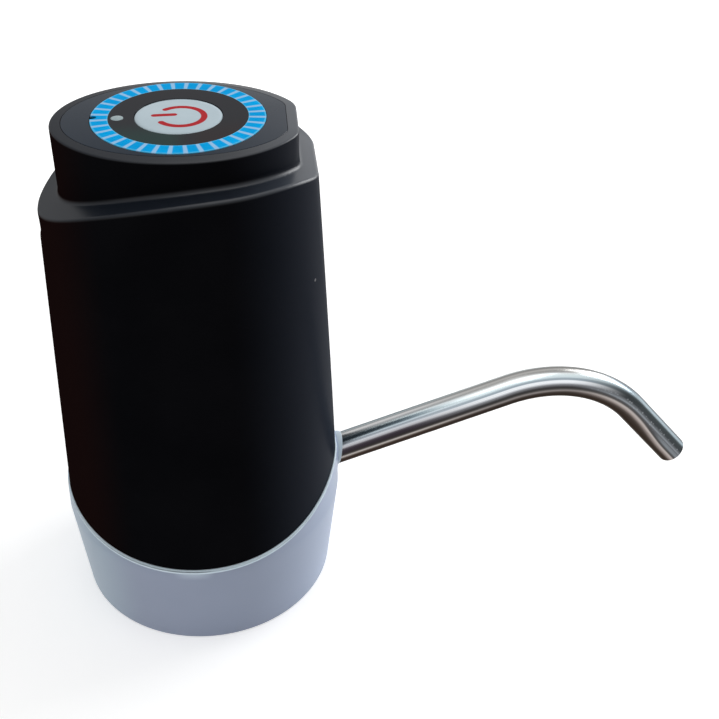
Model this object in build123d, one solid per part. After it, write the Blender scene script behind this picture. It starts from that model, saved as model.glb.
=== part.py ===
from build123d import *
from math import asin, cos, radians, sin, sqrt, tan
import os

# Battery pump that stands on the neck of a large water bottle.
# Millimetres. Origin: centre of the foot ring, on the plane it stands on.
# +Z is up, +X points the way the spout leaves.

# ---- overall form of the black shell: an oval on top that grows round downwards ----
form_low_height = 26.0       # level where the shell is round
form_low_radius = 34.97
form_over_cap_height = 0.3   # the oval lies above the cap's rim, beyond the shoulder's cut
form_top_half_x = 31.0
form_top_half_y = 26.5
facet_low_cut = 0.12         # depth of the flat on the spout side, low and high
facet_top_cut = 2.5
facet_corner = 9.0
shell_wall = 2.1

# ---- shoulder: a shallow arch along X, ruled along Y ----
shoulder_apex_x = 8.2
shoulder_drop = 6.8          # from the cap's rim down to the top of the arch
shoulder_radius = 89.0
shoulder_round = 1.2

# ---- cap: the raised oval on the shoulder ----
cap_half_x = 27.2
cap_half_y = 21.6
cap_flat_cut = 2.1
cap_corner = 7.0
cap_over_board_height = 23.7
cap_wall = 2.2
cap_round = 0.9
cap_foot_round = 0.7
inner_corner = 1.0           # smallest corner of the cap's inner outlines

# ---- joint line between shell and base: a dip along X, ruled along Y ----
joint_low_x = -3.5
joint_low_height = 27.24
joint_radius = 70.0
shut_gap = 0.1
lip_proud = 0.4

# ---- base with the bottle socket ----
foot_radius = 33.0
base_wall = 2.4
deck_top = 22.4
deck_thickness = 2.0
neck_radius = 27.5           # bottle neck, 55 mm across
neck_clearance = 0.4         # round the neck in the entry
grip_clearance = 0.1         # round the neck in the grip above the entry
entry_height = 9.0
neck_skirt_wall = 1.6
skirt_rib_count = 12
skirt_rib_width = 1.2
tongue_wall = 1.5
tongue_rise = 3.0
tongue_fit = 0.15
lip_step = 0.25              # small relief along the lip's upper edge
foot_round = 0.6

# ---- top panel, dial, button ----
panel_inset = 2.4
panel_proud = 0.1
panel_thickness = 2.0
panel_shelf = 1.4
panel_fit = 0.1
panel_round = 0.4
dial_radius = 18.43
dial_thickness = 0.5
dial_recess = 0.3
dial_notch = 0.8
dial_turn = -2.4             # degrees, the whole print is a little off square
button_radius = 9.2
button_clearance = 0.15
button_rise = 0.1            # top of the dome above the dial
button_dome = 0.5
button_round = 0.6
button_flange = 0.9
button_flange_thickness = 1.4
button_stem_radius = 2.4
button_travel = 0.8
button_guide_wall = 1.2
button_guide_depth = 3.0
button_rib_width = 0.8

# ---- board, switch, lamp, charging socket ----
board_gap = 1.9              # from the motor's tags up to the board
board_thickness = 1.6
board_half_x = 27.0
board_half_y = 21.0
board_flat_x = 24.0
board_corner = 3.0
switch_side = 6.0
switch_height = 3.5
switch_floor = 1.2
plunger_radius = 1.75
plunger_stand = 1.5
plunger_fit = 0.1
lamp_x = -12.6
lamp_radius = 1.5
lamp_height = 3.0
lamp_gap = 0.6
pipe_radius = 1.4
pipe_fit = 0.08
pipe_collar = 0.5
pipe_collar_thickness = 1.2
socket_width = 8.94
socket_height = 3.16
socket_depth = 7.3
socket_wall = 0.3
socket_inset = 0.4
port_margin = 1.7
contact_thickness = 0.7
contact_margin = 1.0
plug_place = (17.0, 9.0)     # the two wire plugs stand at +y and -y
plug_side = 6.0
plug_height = 4.5
choke_place = (9.0, 14.0)
choke_radius = 3.0
choke_height = 3.0
chip_place = (6.5, -13.0)
chip_length = 5.0
chip_width = 4.0
chip_height = 1.5

# ---- spout: steel tube in a tilted seat, bent downwards at its end ----
spout_root_x = 34.8          # where the tube's axis crosses the wall
spout_root_height = 31.2
spout_rise = 18.5            # degrees above level
spout_drop = 48.0            # degrees below level
spout_run = 71.8             # root to the corner of the two straights
spout_fall = 45.9            # corner to the outlet
spout_bend_radius = 35.0
spout_radius = 4.0
spout_wall = 0.5
spout_depth = 8.5            # length of tube inside the root
spout_clearance = 0.05
spout_rim_round = 0.2
seal_radius = 5.2
seal_thickness = 1.25
seal_round = 0.7
seal_sleeve = 0.85
seal_pad_x = 35.45
seal_pad_margin = 0.4
boss_radius = 7.0
boss_depth = 3.5
elbow_flange_thickness = 1.5
elbow_radius = 5.3
elbow_barrel = 5.9
elbow_reach = 10.0
o_ring_section = 0.5
o_ring_pitch = 2.2
o_ring_first = 1.2           # from the boss to the first ring
tube_end_gap = 0.3

# ---- hoses and nipples ----
nipple_radius = 2.2
nipple_bore = 1.4
hose_fit = 0.05
hose_wall = 1.15
hose_bend_radius = 8.2
hose_end_gap = 0.5
nipple_into_bend = 0.3
intake_radius = 3.5
intake_length = 9.6
intake_lead = 0.5
intake_flange = 1.6
intake_flange_thickness = 1.5
intake_neck_wall = 0.9
intake_top = 34.0

# ---- pump and motor on one upright axis ----
pump_x = 6.0
pump_bottom = 43.0
pump_radius = 13.5
nozzle_spread = 5.0
nozzle_length = 6.0
cover_thickness = 4.0
gallery_depth = 1.0
pump_screw_sink = 1.5
valve_plate_thickness = 2.0
diaphragm_thickness = 1.5
diaphragm_cup_radius = 3.1
diaphragm_cup_height = 2.2
diaphragm_cup_wall = 0.8
diaphragm_cup_pitch = 5.0
diaphragm_cup_count = 3
cup_start_angle = 60
housing_height = 14.0
housing_bore = 9.6
housing_roof = 2.0
housing_neck_radius = 3.0
pump_screw_pitch = 11.6
pump_screw_radius = 0.9
pump_screw_head = 1.7
pump_screw_head_height = 1.3
pump_screw_count = 4
pump_screw_depth = 12.0
wobble_radius = 8.4
wobble_thickness = 1.6
wobble_bore = 2.7
eccentric_radius = 4.6
eccentric_height = 4.0
eccentric_gap = 0.5
eccentric_floor = 1.0
eccentric_flat = 2.8
crank_radius = 1.0
crank_offset = 1.2
crank_length = 1.9
motor_radius = 12.2
motor_length = 31.0
motor_wall = 0.9
motor_neck_fit = 0.1
motor_neck_rise = 1.2
motor_bearing_depth = 2.0
motor_cap_height = 3.0
motor_cap_spigot = 1.5
bearing_roof = 1.0
shaft_radius = 1.0
armature_radius = 8.0
armature_slot = 2.2
armature_slot_start = 3.6
armature_low_gap = 6.0
armature_high_gap = 8.0
shaft_low_gap = 1.5
shaft_top_gap = 1.2
magnet_thickness = 2.6
magnet_low_gap = 5.0
magnet_high_gap = 6.0
magnet_half_gap = 4.0
commutator_radius = 2.6
commutator_length = 4.0
terminal_width = 2.4
terminal_thickness = 0.5
terminal_spread = 7.0
terminal_height = 2.0

# ---- battery ----
battery_x = -19.5
cell_radius = 9.1
cell_length = 65.0
cell_round = 0.8
cell_button_height = 0.8
tab_thickness = 0.3
tab_width = 5.0
lead_radius = 0.7
lead_gap = 0.3

# ---- inner frame ----
plate_thickness = 2.0
plate_inset = 6.5
spine_thickness = 2.0
spine_half_width = 18.0
spine_bridge = 4.0           # whole height of the spine above the cell
cradle_fit = 0.2
cradle_wall = 1.4
cradle_height = 8.0
cradle_levels = (40.0, 72.0)
motor_ring_level = 80.0
cup_wall = 1.7
hose_window = 6.4
hose_window_top = 38.0
screw_radius = 1.45
screw_fit = 0.05
screw_tip_gap = 0.3
screw_head = 2.6
screw_head_height = 1.8
screw_boss = 3.2
screw_boss_height = 7.6
frame_screw_short = 2.0
board_post_radius = 2.8
board_post_y = 14.0
board_screw_radius = 1.0
board_screw_head = 2.0
board_screw_head_height = 1.3
board_screw_depth = 7.0
seal_ring_width = 3.7
seal_ring_thickness = 2.0

# ---- worked out from the values above, from the deck upwards ----
deck_bottom = deck_top - deck_thickness
plate_top = deck_top + plate_thickness
valve_plate_bottom = pump_bottom + cover_thickness
diaphragm_bottom = valve_plate_bottom + valve_plate_thickness
housing_bottom = diaphragm_bottom + diaphragm_thickness
motor_bottom = housing_bottom + housing_height
motor_top = motor_bottom + motor_length
terminal_top = motor_top + motor_cap_height + terminal_height
board_bottom = terminal_top + board_gap
board_top = board_bottom + board_thickness
cap_height = board_top + cap_over_board_height
form_top_height = cap_height + form_over_cap_height
facet_low_x = form_low_radius - facet_low_cut
facet_top_x = form_top_half_x - facet_top_cut
cap_flat_x = cap_half_x - cap_flat_cut
plate_radius = form_low_radius - plate_inset
shoulder_apex_height = cap_height - shoulder_drop
panel_top = cap_height + panel_proud
panel_bottom = panel_top - panel_thickness
dial_height = panel_top - dial_recess + dial_thickness
button_top = dial_height + button_rise
switch_top = board_top + switch_height
plunger_top = switch_top + plunger_stand
cell_bottom = plate_top + tab_thickness
cell_top = cell_bottom + cell_length
neck_bore = neck_radius + neck_clearance
grip_bore = neck_radius + grip_clearance
skirt_radius = neck_bore + neck_skirt_wall
tongue_inset = shell_wall + tongue_fit
button_hole = button_radius + button_clearance
hose_bore = nipple_radius + hose_fit
hose_radius = hose_bore + hose_wall
spout_bore = spout_radius + spout_clearance
pump_screw_hole = pump_screw_radius + screw_fit
spine_x = battery_x + cell_radius + cradle_fit + cradle_wall
frame_screw_places = ((-9.0, 17.0), (-9.0, -17.0), (12.0, 16.5), (12.0, -16.5))
inlet_x = pump_x - nozzle_spread
outlet_x = pump_x + nozzle_spread
tall = 3 * form_top_height   # longer than anything in the part
on_floor = (Align.CENTER, Align.CENTER, Align.MIN)

# axis of the spout's seat: local +Z runs outwards along the tube
spout_seat = Plane(
    origin=(spout_root_x, 0, spout_root_height),
    x_dir=(0, 1, 0),
    z_dir=(cos(radians(spout_rise)), 0, sin(radians(spout_rise))),
)
elbow_x = spout_root_x - elbow_reach * cos(radians(spout_rise))
elbow_height = spout_root_height - elbow_reach * sin(radians(spout_rise))
seal_height = spout_root_height + (seal_pad_x - spout_root_x) * tan(radians(spout_rise))


def rod(x, y, radius, low, high):
    """Upright cylinder between two heights."""
    return Pos(x, y, low) * Cylinder(radius, high - low, align=on_floor)


def seat_rod(radius, start, end):
    """Cylinder along the spout's axis, between two distances from its root."""
    return spout_seat.offset(start) * Cylinder(radius, end - start, align=on_floor)


def block(low, high):
    """Box between two corners."""
    sides = [b - a for a, b in zip(low, high)]
    return Pos(*low) * Box(*sides, align=(Align.MIN, Align.MIN, Align.MIN))


def flat_oval(half_x, half_y, flat_x, corner):
    """Oval cut by a flat on its +X side, with rounded corners."""
    beyond = Pos(flat_x, 0) * Rectangle(half_x, 4 * half_y, align=(Align.MIN, Align.CENTER))
    face = Ellipse(half_x, half_y) - beyond
    corners = face.vertices().group_by(Axis.X)[-1]
    return fillet(corners, corner)


def oval_block(half_x, half_y, flat_x, corner, low, high):
    """Upright block of the flat oval."""
    return Pos(0, 0, low) * extrude(flat_oval(half_x, half_y, flat_x, corner), high - low)


def shell_form(inset):
    """The shell's tapering form, every wall moved inwards by inset."""
    low = flat_oval(
        form_low_radius - inset, form_low_radius - inset, facet_low_x - inset, facet_corner
    )
    high = flat_oval(
        form_top_half_x - inset, form_top_half_y - inset, facet_top_x - inset, facet_corner
    )
    return loft([Pos(0, 0, form_low_height) * low, Pos(0, 0, form_top_height) * high], ruled=True)


def foot_form(inset):
    """The base's round taper from the foot up to the level where the shell form starts."""
    proud = inset - lip_proud
    high = flat_oval(
        form_low_radius - proud, form_low_radius - proud, facet_low_x - proud, facet_corner
    )
    return loft([Circle(foot_radius - inset), Pos(0, 0, form_low_height) * high], ruled=True)


def across(radius, x, height):
    """Cylinder lying along Y."""
    return Pos(x, 0, height) * Rot(90, 0, 0) * Cylinder(radius, tall)


def shoulder_bound(inset):
    """Everything under the arched shoulder."""
    return across(shoulder_radius - inset, shoulder_apex_x, shoulder_apex_height - shoulder_radius)


def joint_bound(inset):
    """Everything above the dipping joint line."""
    return across(joint_radius - inset, joint_low_x, joint_low_height + joint_radius)


def edges_on(shape, bound, inside):
    """Edges of shape whose middles pass both tests."""
    picked = ShapeList()
    for edge in shape.edges():
        middle = edge.position_at(0.5)
        if bound(middle) and inside(middle):
            picked.append(edge)
    return picked


def cap_oval(inset, low, high):
    """Upright block with the cap's outline moved inwards."""
    corner = max(cap_corner - inset, inner_corner)
    return oval_block(cap_half_x - inset, cap_half_y - inset, cap_flat_x - inset, corner, low, high)


def outer_shell():
    """Tapering shell, arched shoulder and raised cap, open below and over the button."""
    body = shell_form(0) & shoulder_bound(0)
    arch_axis_height = shoulder_apex_height - shoulder_radius

    def on_arch(p):
        reach = sqrt((p.X - shoulder_apex_x) ** 2 + (p.Z - arch_axis_height) ** 2)
        return abs(reach - shoulder_radius) < 0.01

    body = fillet(edges_on(body, on_arch, lambda p: True), shoulder_round)
    body = body + cap_oval(0, board_top, cap_height)

    def by_cap(p):
        reach_x = cap_half_x + cap_foot_round
        reach_y = cap_half_y + cap_foot_round
        return (p.X / reach_x) ** 2 + (p.Y / reach_y) ** 2 < 1

    body = fillet(edges_on(body, on_arch, by_cap), cap_foot_round)
    body = fillet(body.edges().group_by(Axis.Z)[-1], cap_round)
    body = body & joint_bound(0)
    hollow = shell_form(shell_wall) & shoulder_bound(shell_wall)
    hollow = hollow + cap_oval(cap_wall, board_top, panel_bottom - cap_wall)
    hollow = hollow + cap_oval(panel_inset + panel_shelf, board_top, panel_top)
    hollow = hollow + cap_oval(panel_inset - panel_fit, panel_bottom, panel_top + cap_round)
    body = body - hollow
    slot = SlotOverall(socket_width + 2 * port_margin, socket_height + 2 * port_margin)
    port_plane = Plane(origin=(0, 0, socket_level), x_dir=(0, 1, 0), z_dir=(-1, 0, 0))
    port = extrude(port_plane * slot, form_low_radius + 1)
    return body - port


def top_panel():
    """Raised plate in the cap that carries the dial and guides the button."""
    plate = cap_oval(panel_inset, panel_bottom, panel_top)
    plate = fillet(plate.edges().group_by(Axis.Z)[-1], panel_round)
    plate = plate - rod(0, 0, dial_radius + panel_fit, panel_top - dial_recess, panel_top + 1)
    guide_bore = button_radius + button_flange + button_clearance
    guide = rod(0, 0, guide_bore + button_guide_wall, panel_bottom - button_guide_depth, panel_bottom)
    plate = plate + guide - rod(0, 0, guide_bore, panel_bottom - button_guide_depth, panel_bottom)
    plate = plate - rod(0, 0, button_hole, panel_bottom, panel_top)
    pipe_clear = pipe_radius + pipe_collar + pipe_fit
    plate = plate - rod(lamp_x, 0, pipe_clear, panel_bottom - button_guide_depth, panel_bottom)
    return plate - rod(lamp_x, 0, pipe_radius + pipe_fit, panel_bottom, panel_top)


def dial_label():
    """Thin printed disc round the button, with an orientation notch at its edge."""
    low = panel_top - dial_recess
    disc = rod(0, 0, dial_radius, low, dial_height)
    disc = disc - rod(0, 0, button_hole, low, dial_height)
    disc = disc - rod(lamp_x, 0, pipe_radius + pipe_fit, low, dial_height)
    notch = rod(-dial_radius, 0, dial_notch, low, dial_height)
    return disc - Rot(0, 0, dial_turn) * notch


def power_button():
    """Domed cap with a retaining flange and a ribbed stem down to the switch."""
    dome_radius = (button_radius**2 + button_dome**2) / (2 * button_dome)
    head = rod(0, 0, button_radius, panel_bottom, button_top)
    head = head & (Pos(0, 0, button_top - dome_radius) * Sphere(dome_radius))
    rims = head.edges().filter_by(GeomType.CIRCLE).filter_by(lambda edge: edge.radius < 2 * button_radius)
    head = fillet(rims.group_by(Axis.Z)[-1], button_round)
    flange_bottom = panel_bottom - button_flange_thickness
    flange = rod(0, 0, button_radius + button_flange, flange_bottom, panel_bottom)
    stem = rod(0, 0, button_stem_radius, plunger_top, flange_bottom)
    rib_half = button_radius / 2
    rib_low = flange_bottom - button_guide_depth
    for turn in (0, 90):
        rib_high = (rib_half, button_rib_width / 2, flange_bottom)
        rib = block((-rib_half, -button_rib_width / 2, rib_low), rib_high)
        stem = stem + Rot(0, 0, turn) * rib
    return head + flange + stem


def light_pipe():
    """Clear rod that carries the lamp's light up to the dial."""
    low = board_top + lamp_height + lamp_gap
    collar = rod(lamp_x, 0, pipe_radius + pipe_collar, panel_bottom - pipe_collar_thickness, panel_bottom)
    return rod(lamp_x, 0, pipe_radius, low, dial_height) + collar


def status_lamp():
    """Small round lamp on the board."""
    lamp = rod(lamp_x, 0, lamp_radius, board_top, board_top + lamp_height)
    return fillet(lamp.edges().group_by(Axis.Z)[-1], lamp_radius / 2)


def tact_switch():
    """Square switch with a bore for its plunger."""
    half = switch_side / 2
    body = block((-half, -half, board_top), (half, half, switch_top))
    body = chamfer(body.edges().filter_by(Axis.Z), switch_side / 12)
    return body - rod(0, 0, plunger_radius + plunger_fit, switch_bore_floor, switch_top)


def switch_plunger():
    """Round plunger that the button's stem presses."""
    return rod(0, 0, plunger_radius, switch_bore_floor + button_travel + plunger_fit, plunger_top)


def control_board():
    """Oval circuit board screwed to the frame's posts."""
    board = oval_block(board_half_x, board_half_y, board_flat_x, board_corner, board_bottom, board_top)
    for side in (-1, 1):
        hole = rod(spine_x, side * board_post_y, board_screw_radius + screw_fit, board_bottom, board_top)
        board = board - hole
    return board


def standing_block(x, y, length, width, low, high):
    """Box centred on a place."""
    return block((x - length / 2, y - width / 2, low), (x + length / 2, y + width / 2, high))


def board_components():
    """The parts soldered to the board: two wire plugs, a choke and a chip."""
    x, y = plug_place
    pieces = [
        standing_block(x, side * y, plug_side, plug_side, board_top, board_top + plug_height)
        for side in (-1, 1)
    ]
    pieces.append(rod(*choke_place, choke_radius, board_top, board_top + choke_height))
    chip_top = board_top + chip_height
    pieces.append(standing_block(*chip_place, chip_length, chip_width, board_top, chip_top))
    return Compound(children=pieces)


def usb_socket():
    """Charging socket at the board's edge behind the shell's port."""
    plane = Plane(origin=(socket_face_x, 0, socket_level), x_dir=(0, 1, 0), z_dir=(1, 0, 0))
    outer = extrude(plane * SlotOverall(socket_width, socket_height), socket_depth)
    inner_width = socket_width - 2 * socket_wall
    inner_height = socket_height - 2 * socket_wall
    inner = extrude(plane * SlotOverall(inner_width, inner_height), socket_depth - contact_margin)
    half_width = inner_width / 2 - contact_margin
    half_height = contact_thickness / 2
    contact_low = (socket_face_x + contact_margin, -half_width, socket_level - half_height)
    contact_high = (socket_face_x + socket_depth, half_width, socket_level + half_height)
    return outer - inner + block(contact_low, contact_high)


def screws_up(places, radius, head, head_height, seat, tip):
    """Screws driven upwards, their heads under the seat."""
    pieces = []
    for x, y in places:
        screw = rod(x, y, radius, seat, tip) + rod(x, y, head, seat - head_height, seat)
        pieces.append(screw - rod(x, y, head / 3, seat - head_height, seat - head_height / 2))
    return Compound(children=pieces)


def board_screws():
    """Two screws from above into the frame's posts."""
    pieces = []
    for side in (-1, 1):
        y = side * board_post_y
        head_top = board_top + board_screw_head_height
        screw = rod(spine_x, y, board_screw_radius, board_top - board_screw_depth, board_top)
        screw = screw + rod(spine_x, y, board_screw_head, board_top, head_top)
        recess = rod(spine_x, y, board_screw_head / 3, head_top - board_screw_head_height / 2, head_top)
        pieces.append(screw - recess)
    return Compound(children=pieces)


def base_collar():
    """White base: tapering wall, deck, bottle skirt with ribs, tongue for the shell, spout boss."""
    above_dial = rod(0, 0, tall, dial_height / 2, dial_height + 1)
    lip = shell_form(-lip_proud) - above_dial
    relieved_lip = shell_form(lip_step - lip_proud) - above_dial
    outside = foot_form(0) + lip
    outside = fillet(outside.edges().group_by(Axis.Z)[0], foot_round)
    outside = outside - joint_bound(-shut_gap - lip_step)
    outside = outside + (relieved_lip - joint_bound(-shut_gap))
    inner_form = shell_form(tongue_inset + tongue_wall) + foot_form(tongue_inset + tongue_wall + lip_proud)
    tongue = shell_form(tongue_inset) - joint_bound(tongue_rise)
    body = outside + tongue
    pad = Plane(origin=(0, 0, seal_height), x_dir=(0, 1, 0), z_dir=(1, 0, 0))
    pad_depth = seal_pad_x - spout_root_x + base_wall
    pad_disc = Cylinder(seal_radius + seal_pad_margin, pad_depth, align=on_floor)
    body = body + pad.offset(spout_root_x - base_wall) * pad_disc
    above_deck = rod(0, 0, tall, deck_top, dial_height)
    below_deck = rod(0, 0, tall, -1, deck_bottom)
    body = body - (inner_form & above_deck)
    boss = seat_rod(boss_radius, -boss_depth, 0) & foot_form(0).fuse(lip)
    boss = boss - joint_bound(-shut_gap)
    body = body + (boss & above_deck)
    body = body - (seat_rod(boss_radius + panel_fit, -2 * elbow_reach, -boss_depth) & above_deck)
    gap = (foot_form(base_wall) & below_deck) - rod(0, 0, skirt_radius, -1, deck_bottom)
    for index in range(skirt_rib_count):
        low = (neck_bore, -skirt_rib_width / 2, 0)
        high = (foot_radius, skirt_rib_width / 2, deck_bottom)
        gap = gap - Rot(0, 0, (index + 0.5) * 360 / skirt_rib_count) * block(low, high)
    body = body - gap
    body = body - rod(0, 0, neck_bore, -1, entry_height)
    body = body - rod(0, 0, grip_bore, entry_height, deck_bottom)
    body = body - rod(inlet_x, 0, intake_neck, deck_bottom, deck_top)
    for x, y in frame_screw_places:
        body = body - rod(x, y, screw_radius + 4 * screw_fit, deck_bottom, deck_top)
    return body - seat_rod(seal_hole, -boss_depth - 1, tall)


def neck_seal():
    """Soft flat ring that the bottle's rim presses on."""
    outer = grip_bore - panel_fit
    ring = rod(0, 0, outer, deck_bottom - seal_ring_thickness, deck_bottom)
    return ring - rod(0, 0, outer - seal_ring_width, deck_bottom - seal_ring_thickness, deck_bottom)


def intake_nipple():
    """Double nipple through the deck: wide below for the dip hose, narrow above."""
    flange_bottom = deck_bottom - intake_flange_thickness
    piece = rod(inlet_x, 0, intake_radius + intake_flange, flange_bottom, deck_bottom)
    piece = piece + rod(inlet_x, 0, intake_neck - screw_fit, deck_bottom, plate_top)
    piece = piece + rod(inlet_x, 0, nipple_radius, plate_top, intake_top)
    lower = flange_bottom - intake_length
    spigot = rod(inlet_x, 0, intake_radius, lower, flange_bottom)
    spigot = chamfer(spigot.edges().group_by(Axis.Z)[0], intake_lead)
    return piece + spigot - rod(inlet_x, 0, nipple_bore, lower, intake_top)


def spout_tube():
    """Bent steel tube, open at both ends."""
    rise = radians(spout_rise)
    drop = radians(spout_drop)
    corner_x = spout_root_x + spout_run * cos(rise)
    corner_z = spout_root_height + spout_run * sin(rise)
    start = (spout_root_x - spout_depth * cos(rise), 0, spout_root_height - spout_depth * sin(rise))
    end = (corner_x + spout_fall * cos(drop), 0, corner_z - spout_fall * sin(drop))
    path = FilletPolyline(start, (corner_x, 0, corner_z), end, radius=spout_bend_radius)
    section = Plane(origin=start, x_dir=(0, 1, 0), z_dir=spout_seat.z_dir)
    tube = sweep(section * Circle(spout_radius), path)
    bore = sweep(section * Circle(spout_radius - spout_wall), path)
    tube = tube - bore
    rim = tube.edges().filter_by(GeomType.CIRCLE).group_by(Axis.X)[-1]
    return fillet(rim, spout_rim_round)


def spout_seal():
    """Soft grommet: a rounded collar on the base's pad and a sleeve round the tube."""
    pad = Plane(origin=(seal_pad_x, 0, seal_height), x_dir=(0, 1, 0), z_dir=(1, 0, 0))
    collar = pad * Cylinder(seal_radius, seal_thickness, align=on_floor)
    collar = fillet(collar.edges().group_by(Axis.X)[-1], seal_round)
    sleeve = seat_rod(spout_bore + seal_sleeve, -boss_depth, boss_depth)
    before_pad = block((0, -tall / 2, 0), (seal_pad_x, tall / 2, tall))
    return collar + (sleeve & before_pad) - seat_rod(spout_bore, -boss_depth - 1, tall)


def spout_elbow():
    """Moulded elbow behind the wall: tube seat with seal grooves, then a nipple for the hose."""
    flange_end = -boss_depth - elbow_flange_thickness
    body = seat_rod(boss_radius, flange_end, -boss_depth)
    body = body + seat_rod(elbow_barrel, -spout_depth - spout_clearance, -boss_depth)
    body = body + seat_rod(elbow_radius, -elbow_reach, -spout_depth)
    body = body + Pos(elbow_x, 0, elbow_height) * Sphere(elbow_radius)
    level = Plane(origin=(elbow_x, 0, elbow_height), x_dir=(0, 1, 0), z_dir=(-1, 0, 0))
    nipple_end = elbow_x - outlet_x - hose_bend_radius + nipple_into_bend
    body = body + level * Cylinder(nipple_radius, nipple_end, align=on_floor)
    body = body - level * Cylinder(nipple_bore, nipple_end, align=on_floor)
    body = body - Pos(elbow_x, 0, elbow_height) * Sphere(nipple_bore)
    body = body - seat_rod(spout_bore, -spout_depth - tube_end_gap, -boss_depth)
    body = body - seat_rod(nipple_bore, -elbow_reach, -spout_depth)
    for station in o_ring_stations:
        body = body - o_ring(station, spout_clearance)
    return body


def o_ring(station, grow):
    """One seal ring round the tube at a distance from its root."""
    ring_radius = spout_bore + o_ring_section
    return spout_seat.offset(station) * Torus(ring_radius, o_ring_section + grow)


def spout_o_rings():
    """Two seal rings in the elbow's grooves."""
    return Compound(children=[o_ring(station, 0) for station in o_ring_stations])


def hose_along(path, start, direction):
    """Hollow hose along a path."""
    section = Plane(origin=start, z_dir=direction)
    return sweep(section * Circle(hose_radius), path) - sweep(section * Circle(hose_bore), path)


def inlet_hose():
    """Straight hose from the intake nipple up to the pump."""
    low = plate_top + hose_end_gap
    high = pump_bottom - hose_end_gap
    return rod(inlet_x, 0, hose_radius, low, high) - rod(inlet_x, 0, hose_bore, low, high)


def outlet_hose():
    """Hose from the pump's outlet, bent towards the spout elbow."""
    start = (outlet_x, 0, pump_bottom - hose_end_gap)
    corner = (outlet_x, 0, elbow_height)
    end = (elbow_x - elbow_radius - hose_end_gap, 0, elbow_height)
    path = FilletPolyline(start, corner, end, radius=hose_bend_radius)
    return hose_along(path, start, (0, 0, -1))


def pump_drill(shape, low, high, radius):
    """Holes for the pump's long screws."""
    for x, y in pump_screw_places:
        shape = shape - rod(x, y, radius, low, high)
    return shape


def pump_cover():
    """Bottom cover of the pump with its two nozzles and sunk screw seats."""
    cover = rod(pump_x, 0, pump_radius, pump_bottom, valve_plate_bottom)
    for x in (inlet_x, outlet_x):
        cover = cover + rod(x, 0, nipple_radius, pump_bottom - nozzle_length, pump_bottom)
        cover = cover - rod(x, 0, nipple_bore, pump_bottom - nozzle_length, valve_plate_bottom)
        cover = cover - rod(x, 0, 3 * nipple_bore, valve_plate_bottom - gallery_depth, valve_plate_bottom)
    cover = pump_drill(cover, pump_bottom, valve_plate_bottom, pump_screw_hole)
    return pump_drill(cover, pump_bottom, pump_bottom + pump_screw_sink, pump_screw_head + screw_fit)


def valve_plate():
    """Plate with a ring of small ports over each valve."""
    plate = rod(pump_x, 0, pump_radius, valve_plate_bottom, diaphragm_bottom)
    for angle in cup_angles:
        x = pump_x + diaphragm_cup_pitch * cos(radians(angle))
        y = diaphragm_cup_pitch * sin(radians(angle))
        plate = plate - rod(x, y, nipple_bore / 2, valve_plate_bottom, diaphragm_bottom)
    return pump_drill(plate, valve_plate_bottom, diaphragm_bottom, pump_screw_hole)


def pump_diaphragm():
    """Rubber sheet with one cup for each pumping chamber."""
    sheet = rod(pump_x, 0, pump_radius, diaphragm_bottom, housing_bottom)
    for angle in cup_angles:
        x = pump_x + diaphragm_cup_pitch * cos(radians(angle))
        y = diaphragm_cup_pitch * sin(radians(angle))
        top = housing_bottom + diaphragm_cup_height
        cup_bore = diaphragm_cup_radius - diaphragm_cup_wall
        sheet = sheet + rod(x, y, diaphragm_cup_radius, housing_bottom, top)
        sheet = sheet - rod(x, y, cup_bore, diaphragm_bottom, top - diaphragm_cup_wall)
    return pump_drill(sheet, diaphragm_bottom, housing_bottom, pump_screw_hole)


def pump_housing():
    """Hollow housing between the diaphragm and the motor."""
    body = rod(pump_x, 0, pump_radius, housing_bottom, motor_bottom)
    body = body - rod(pump_x, 0, housing_bore, housing_bottom, motor_bottom - housing_roof)
    body = body - rod(pump_x, 0, housing_neck_radius, housing_bottom, motor_bottom)
    return pump_drill(body, housing_bottom, pump_screw_tip + screw_tip_gap, pump_screw_hole)


def wobble_plate():
    """Swash plate that works the three cups in turn."""
    low = housing_bottom + diaphragm_cup_height
    plate = rod(pump_x, 0, wobble_radius, low, low + wobble_thickness)
    return plate - rod(pump_x, 0, wobble_bore, low, low + wobble_thickness)


def eccentric_hub():
    """Hub pressed on the shaft with an offset crank pin."""
    low = housing_bottom + diaphragm_cup_height + wobble_thickness + eccentric_gap
    hub = rod(pump_x, 0, eccentric_radius, low, low + eccentric_height)
    hub = hub + rod(pump_x + crank_offset, 0, crank_radius, low - crank_length, low)
    flat_low = (pump_x - eccentric_radius, -eccentric_radius, low)
    flat_high = (pump_x - eccentric_flat, eccentric_radius, low + eccentric_height)
    flat = block(flat_low, flat_high)
    return hub - flat - rod(pump_x, 0, shaft_radius, low + eccentric_floor, low + eccentric_height)


def motor_can():
    """Steel can, closed below with a bearing neck."""
    can = rod(pump_x, 0, motor_radius, motor_bottom, motor_top)
    can = fillet(can.edges().group_by(Axis.Z)[0], motor_wall)
    can = can - rod(pump_x, 0, motor_radius - motor_wall, motor_bottom + motor_wall, motor_top)
    neck_low = motor_bottom - motor_neck_rise
    neck_high = motor_bottom + motor_bearing_depth
    can = can + rod(pump_x, 0, housing_neck_radius - motor_neck_fit, neck_low, neck_high)
    return can - rod(pump_x, 0, shaft_radius + screw_fit, neck_low, neck_high)


def motor_magnets():
    """Two curved magnets inside the can."""
    outer = motor_radius - motor_wall
    low = motor_bottom + magnet_low_gap
    high = motor_top - magnet_high_gap
    ring = rod(pump_x, 0, outer, low, high) - rod(pump_x, 0, outer - magnet_thickness, low, high)
    gap = block((pump_x - magnet_half_gap, -tall / 2, low), (pump_x + magnet_half_gap, tall / 2, high))
    return Compound(children=list((ring - gap).solids()))


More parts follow.
